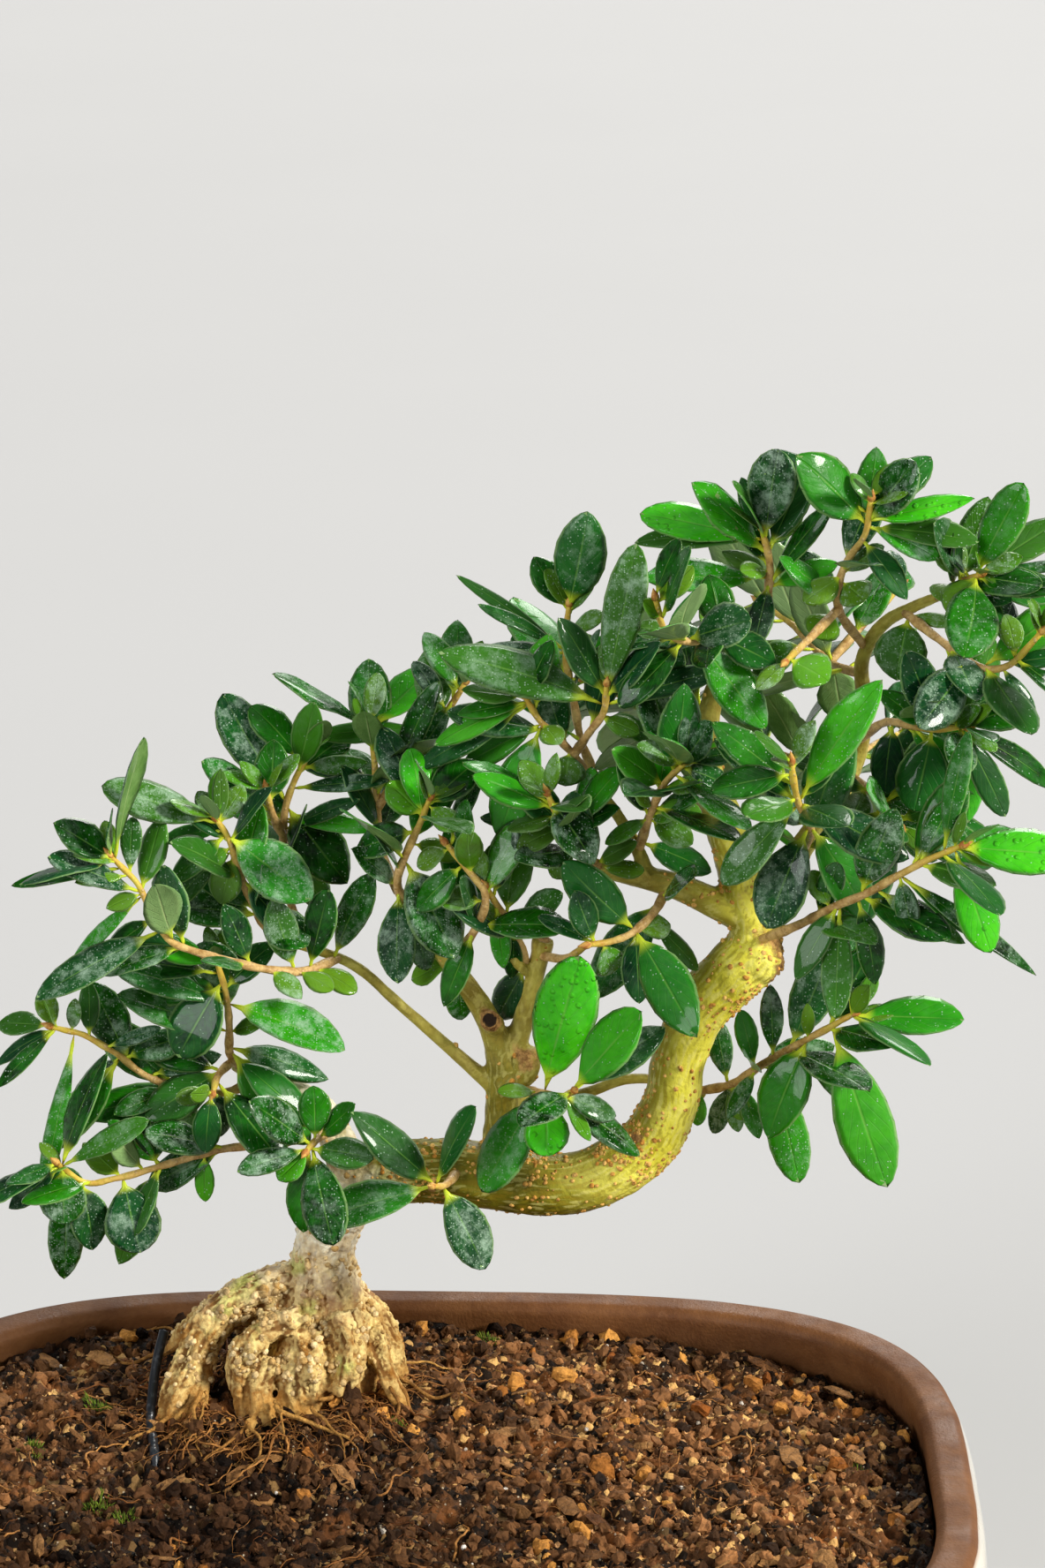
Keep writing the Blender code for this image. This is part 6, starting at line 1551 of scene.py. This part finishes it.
def bark_material():
    """The trunk's bark: smooth olive bark above with painted light on its lit side, pale knobbly bark on the flare
    with painted light on its neck and painted shade in its hollows, corky dark patches.
    """
    make = Finish("trunk_bark", Specular_IOR_Level=0.15)
    rough, rise, dark, low = make.attributes("rough", "rise", "dark", "low")
    near, limb, gold, lichen, fibre = make.attributes("soil_near", "limb", "gold", "lichen", "fibre")

    olive = make.blotched(80, 1.6, (0.07, 0.06, 0.003), (0.23, 0.205, 0.013))
    # Painted light: light gold for the bark's lit side, mixed in by the painted key light attribute.
    painted_lit_bark = make.blotched(70, 1.2, (0.7, 0.63, 0.03), (1, 0.93, 0.15))
    olive = make.mix(make.step(gold, 0, 0.8), olive, painted_lit_bark)
    streaks = make.plus(fibre, make.noise(900, 4, 0.7))
    olive = make.mix(make.step(streaks, 0.6, 1.2, 0, 0.5), olive, (0.3, 0.21, 0.015))
    olive = make.mix(make.step(streaks, 0.4, -0.2, 0, 0.35), olive, (0.86, 0.78, 0.26))
    olive = make.mix(make.step(make.noise(38), 0.52, 0.74, 0, 0.22), olive, (0.8, 0.68, 0.28))
    limbs = make.blotched(160, 1.5, (0.34, 0.25, 0.04), (0.66, 0.57, 0.12))
    olive = make.mix(make.times(limb, 0.65), olive, limbs)

    # The neck's cream: its own pale colour, raised near white as painted light.
    cream_with_painted_light = make.blotched(210, 1.6, (0.93, 0.74, 0.43), (1, 0.98, 0.82))
    ochre = make.blotched(230, 1.8, (0.3, 0.125, 0.02), (0.88, 0.68, 0.27))
    crust = make.blotched(300, 1.5, (0.34, 0.36, 0.05), (0.72, 0.7, 0.24))
    crusted = make.step(make.ragged(lichen, 170, 1.6), 0.25, 0.7, 0, 0.85)
    pale = make.mix(crusted, make.mix(low, cream_with_painted_light, ochre), crust)
    # Painted shade: the flare's bark is darkened where its surface lies lowest, in the hollows between its plates.
    hollow_shade = make.times(make.fall(rise, -0.5, -0.05), make.step(low, 0, 0.8, 0.2, 0.95))
    pale = make.mix(hollow_shade, pale, (0.17, 0.07, 0.015))
    grit = make.group("grit", Scale=560, Cracks=0.35)
    pale = make.mix(make.times(grit["Crack"], 0.2), pale, (0.26, 0.13, 0.04))

    skin = make.mix(make.step(make.ragged(rough, 180, 0.55), 0.28, 0.62), olive, pale)
    damp = make.blotched(260, 1.5, (0.2, 0.075, 0.013), (0.62, 0.33, 0.08))
    skin = make.mix(make.times(make.step(near, 0.15, 1), 0.8), skin, damp)
    cork = make.blotched(420, 1.9, (0.13, 0.055, 0.016), (0.58, 0.33, 0.11))
    cork = make.mix(make.step(dark, 0.93, 1), cork, (0.02, 0.011, 0.006))
    skin = make.mix(make.step(make.ragged(dark, 330, 1.1, 5), 0.32, 0.68), skin, cork)
    dull = make.maths("MAXIMUM", rough, make.maths("MAXIMUM", dark, near))
    height = make.times(grit["Height"], make.step(dull, 0, 0.7, 0.3, 1))
    height = make.plus(height, make.times(make.noise(1500), 0.25))
    return make.done(skin, make.step(dull, 0, 0.8, 0.4, 0.86), height, 0.8, 0.8)


def grain_material(name, first, second, scale, roughness, depth=0.5, dries_and_wall_shaded=False):
    """Grains of one kind: two colours by each grain's own tone, broken up by blotches and grit.

    Grains that dry are darker where the soil is wet, and in the painted shade along the pot's wall.
    """
    make = Finish(name, Specular_IOR_Level=0.1)
    base = make.mix(*make.attributes("tone"), first, second)
    if dries_and_wall_shaded:
        # Grains that dry take the soil's wet and dry tones, and its painted shade along the wall.
        base = make.shaded(base, make.group("wet_dry_and_wall_shade")["Color"])
    base = make.shaded(base, make.blotched(scale, 1.6, (0.45, 0.42, 0.4), (1.25, 1.2, 1.15)))
    grit = make.group("grit", Scale=scale * 2.2, Cracks=0.4)["Height"]
    return make.done(base, make.step(grit, 0, 1, roughness - 0.12, min(1, roughness + 0.1)), grit, depth, 0.9)


def soil_material():
    """Potting soil: near-black to rust-brown crumbs with specks of tan fibre and pale grit."""
    make = Finish("potting_soil", Specular_IOR_Level=0.1)
    crumbs = make.cells(520)
    shade, kind, _ = make.split(crumbs["Color"], "Color")
    brown = make.mix(make.step(shade, 0.2, 0.9), (0.003, 0.0016, 0.001), (0.024, 0.009, 0.0035))
    brown = make.mix(make.step(make.noise(130, 4), 0.5, 0.7, 0, 0.75), brown, (0.075, 0.024, 0.007))
    brown = make.mix(make.step(kind, 0.88, 0.95), brown, (0.14, 0.07, 0.024))
    # The soil's wet and dry tones, and its painted shade along the wall.
    brown = make.shaded(brown, make.group("wet_dry_and_wall_shade")["Color"])
    brown = make.mix(make.speckled(1300, 0.06), brown, (0.46, 0.38, 0.27))
    height = make.plus(make.times(crumbs["Distance"], -1), make.noise(900, 5))
    return make.done(brown, make.step(make.noise(400), 0.35, 0.65, 0.62, 0.95), height, 1.2, 0.9)


def pot_material():
    """Fired clay: an ivory gloss glaze outside, and bare brown clay on the lip and inside."""
    make = Finish("glazed_clay", Coat_Roughness=0.09, Specular_IOR_Level=0.25)
    uneven = make.ragged(*make.attributes("glaze"), 55, 0.5)
    glazed = make.step(uneven, 0.35, 0.6)
    ivory = make.blotched(28, 1, (0.63, 0.58, 0.47), (0.73, 0.7, 0.61))
    ivory = make.mix(make.times(make.speckled(420, 0.05), 0.6), ivory, (0.3, 0.18, 0.09))
    ivory = make.mix(make.times(make.fall(uneven, 0.6, 1), 0.6), ivory, (0.42, 0.26, 0.15))
    clay = make.blotched(70, 1.4, (0.115, 0.042, 0.013), (0.195, 0.08, 0.026))
    worn = make.step(make.noise(420, 5, 0.7), 0.55, 0.8, 0, 0.45)
    clay = make.mix(worn, clay, (0.26, 0.12, 0.055))
    clay_shine = make.step(make.noise(90, 4), 0.3, 0.7, 0.5, 0.7)
    shine = make.add("Mix", {0: glazed, 2: clay_shine, 3: 0.2}, data_type="FLOAT")[0]
    make.feed(make.shader["Coat Weight"], make.times(glazed, 0.8))
    grain = make.times(make.noise(1300, 4), make.step(glazed, 0, 1, 0.7, 0.02))
    waves = make.times(make.noise(60, 2), make.step(glazed, 0, 1, 0.3, 0.15))
    return make.done(make.mix(glazed, clay, ivory), shine, make.plus(grain, waves), 0.35, 0.7)


def wire_material():
    """Black plastic coating on the tie wire, with grey-blue streaks along its length: partly wear, partly painted
    sheen.
    """
    make = Finish("wire_coating", Specular_IOR_Level=0.5)
    # Grey-blue streaks: partly wear, partly painted sheen.
    scuff_and_sheen = make.step(make.noise(480, 5, 0.7), 0.5, 0.75)
    coat = make.mix(scuff_and_sheen, (0.01, 0.013, 0.018), (0.085, 0.095, 0.105))
    return make.done(coat, make.step(scuff_and_sheen, 0, 1, 0.3, 0.6), make.noise(900), 0.2, 0.4)


def net_material():
    """Moulded black plastic, slightly chalky."""
    make = Finish("net_plastic")
    chalk = make.step(make.noise(350, 4), 0.45, 0.8)
    black = make.mix(chalk, (0.02, 0.02, 0.02), (0.07, 0.065, 0.06))
    return make.done(black, make.step(chalk, 0, 1, 0.4, 0.65), make.noise(1200), 0.1, 0.4)


def floor_material():
    """The plain pale floor."""
    make = Finish("pale_floor", Roughness=0.8)
    make.feed(make.shader["Base Color"], make.mix(make.noise(3), (0.475, 0.475, 0.48), (0.49, 0.49, 0.495)))
    return make.material


# The floor, the lights and the camera

FLOOR_FLAT, FLOOR_REACH, FLOOR_RISE = 2.5, 12.0, 1.2
# Broad, soft suns: the direction each comes from, how wide it is in degrees, its strength and colour
SUNS = {
    "key": ((1.15, -0.50, 0.70), 14, 4.6, (1.0, 0.97, 0.90)),
    "top": ((-0.25, -0.45, 1.4), 60, 0.4, (1.0, 0.99, 0.97)),
    "fill": ((-1.0, -1.1, 0.6), 22, 1.3, (0.97, 0.98, 1.0)),
    "back": ((0.25, 1.2, 0.75), 22, 1.7, (1.0, 0.99, 0.95)),
}


def make_floor():
    """The plain pale floor: flat round the object, and rising gently far out, so that no edge shows."""
    reach = np.linspace(FLOOR_FLAT, FLOOR_REACH, 16)
    turn = round_angles(64)
    points = joined(np.multiply.outer(reach, np.cos(turn)), np.multiply.outer(reach, np.sin(turn)),
                    FLOOR_RISE * ease(reach, FLOOR_FLAT, FLOOR_REACH)[:, None])
    faces = [tuple(range(64))] + [(k + i, k + 64 + i, k + 64 + j, k + j) for k in range(0, 64 * 15, 64)
                                  for i, j in zip(range(64), [*range(1, 64), 0])]
    mesh = bpy.data.meshes.new("floor")
    mesh.from_pydata(points.reshape(-1, 3).tolist(), [], faces)
    mesh.polygons.foreach_set("use_smooth", [True] * len(faces))
    mesh.materials.append(floor_material())
    floor = placed("floor", mesh)


def make_lights():
    """A warm key from the right, a soft top light, a cool fill from the left, and a light from behind."""
    for name, (source, width, strength, tone) in SUNS.items():
        data = bpy.data.lights.new(name, "SUN")
        data.energy, data.color, data.angle = strength, tone, math.radians(width)
        light = placed(name, data)
        light.location = source
        light.rotation_euler = (-Vector(source)).to_track_quat("-Z", "Y").to_euler()
    world = bpy.data.worlds.new("studio")
    world.use_nodes = True
    background = world.node_tree.nodes["Background"]
    background.inputs["Color"].default_value = (0.93, 0.96, 1.0, 1.0)
    background.inputs["Strength"].default_value = 0.18
    bpy.context.scene.world = world
    bpy.context.scene.view_settings.view_transform = "Standard"


def make_camera():
    """The eye of the drawing: at EYE, turned as it looks, with the sheet filling its view."""
    data = bpy.data.cameras.new("camera")
    data.sensor_width = SENSOR
    data.lens = SENSOR * SHEET_DISTANCE / SHEET_HEIGHT
    camera = placed("camera", data)
    forward, right, up = view_axes()
    turned = Matrix([right, up, -forward]).transposed().to_4x4()
    camera.matrix_world = Matrix.Translation((EYE + ORIGIN) * MM) @ turned
    bpy.context.scene.camera = camera


# Finishes of small things: name, two colours, the scale of their blotches, roughness, relief in millimetres,
# and whether they dry with the soil and take its painted shade along the wall
GRAINS = {
    "bark_warts": ("corky_warts", (0.6, 0.28, 0.05), (0.95, 0.62, 0.19), 700, 0.7, 0.2),
    "flare_pimples": ("flare_pimple", (0.5, 0.31, 0.1), (0.88, 0.72, 0.4), 500, 0.8, 0.3),
    "dark_crumbs": ("dark_crumb", (0.004, 0.002, 0.0013), (0.072, 0.029, 0.011), 330, 0.85, 0.5, True),
    "fine_crumbs": ("fine_crumb", (0.008, 0.004, 0.002), (0.14, 0.068, 0.03), 700, 0.85, 0.5, True),
    "clay_grains": ("clay_grain", (0.24, 0.075, 0.014), (0.68, 0.33, 0.075), 420, 0.82, 0.35),
    "white_grit": ("white_grit", (0.42, 0.37, 0.29), (0.84, 0.81, 0.75), 800, 0.6, 0.2),
    "bark_chips": ("bark_chip", (0.09, 0.035, 0.012), (0.42, 0.22, 0.08), 480, 0.8, 0.4),
    "moss_hairs": ("moss", (0.03, 0.085, 0.008), (0.2, 0.27, 0.03), 900, 0.75, 0.1),
    "surface_roots": ("surface_root", (0.17, 0.062, 0.014), (0.54, 0.3, 0.08), 600, 0.75, 0.3),
    "rootlets": ("rootlet", (0.14, 0.045, 0.012), (0.5, 0.24, 0.07), 800, 0.7, 0.15),
}


def dress_pieces():
    """Gives every piece its finish, the leaves and twigs by the end of their names."""
    leaf, twig, clay, net = leaf_material(), twig_material(), pot_material(), net_material()
    finishes = {
        "trunk_and_roots": bark_material(), "pot_body": clay, "pot_feet": clay, "soil_body": soil_material(),
        "drain_net_mesh_left": net, "drain_net_mesh_right": net, "tie_wire_end": wire_material(),
        **{name: grain_material(*grain) for name, grain in GRAINS.items()},
    }
    for name, piece in PIECES.items():
        finish = leaf if name.endswith("_leaves") else twig if name.endswith("_twigs") else finishes[name]
        piece.data.materials.clear()
        piece.data.materials.append(finish)


make_floor()
make_lights()
make_camera()
make_pot()
make_soil()
make_soil_litter()
make_drain_nets()
make_tie_wire()
make_wood()
make_sprays()
dress_pieces()
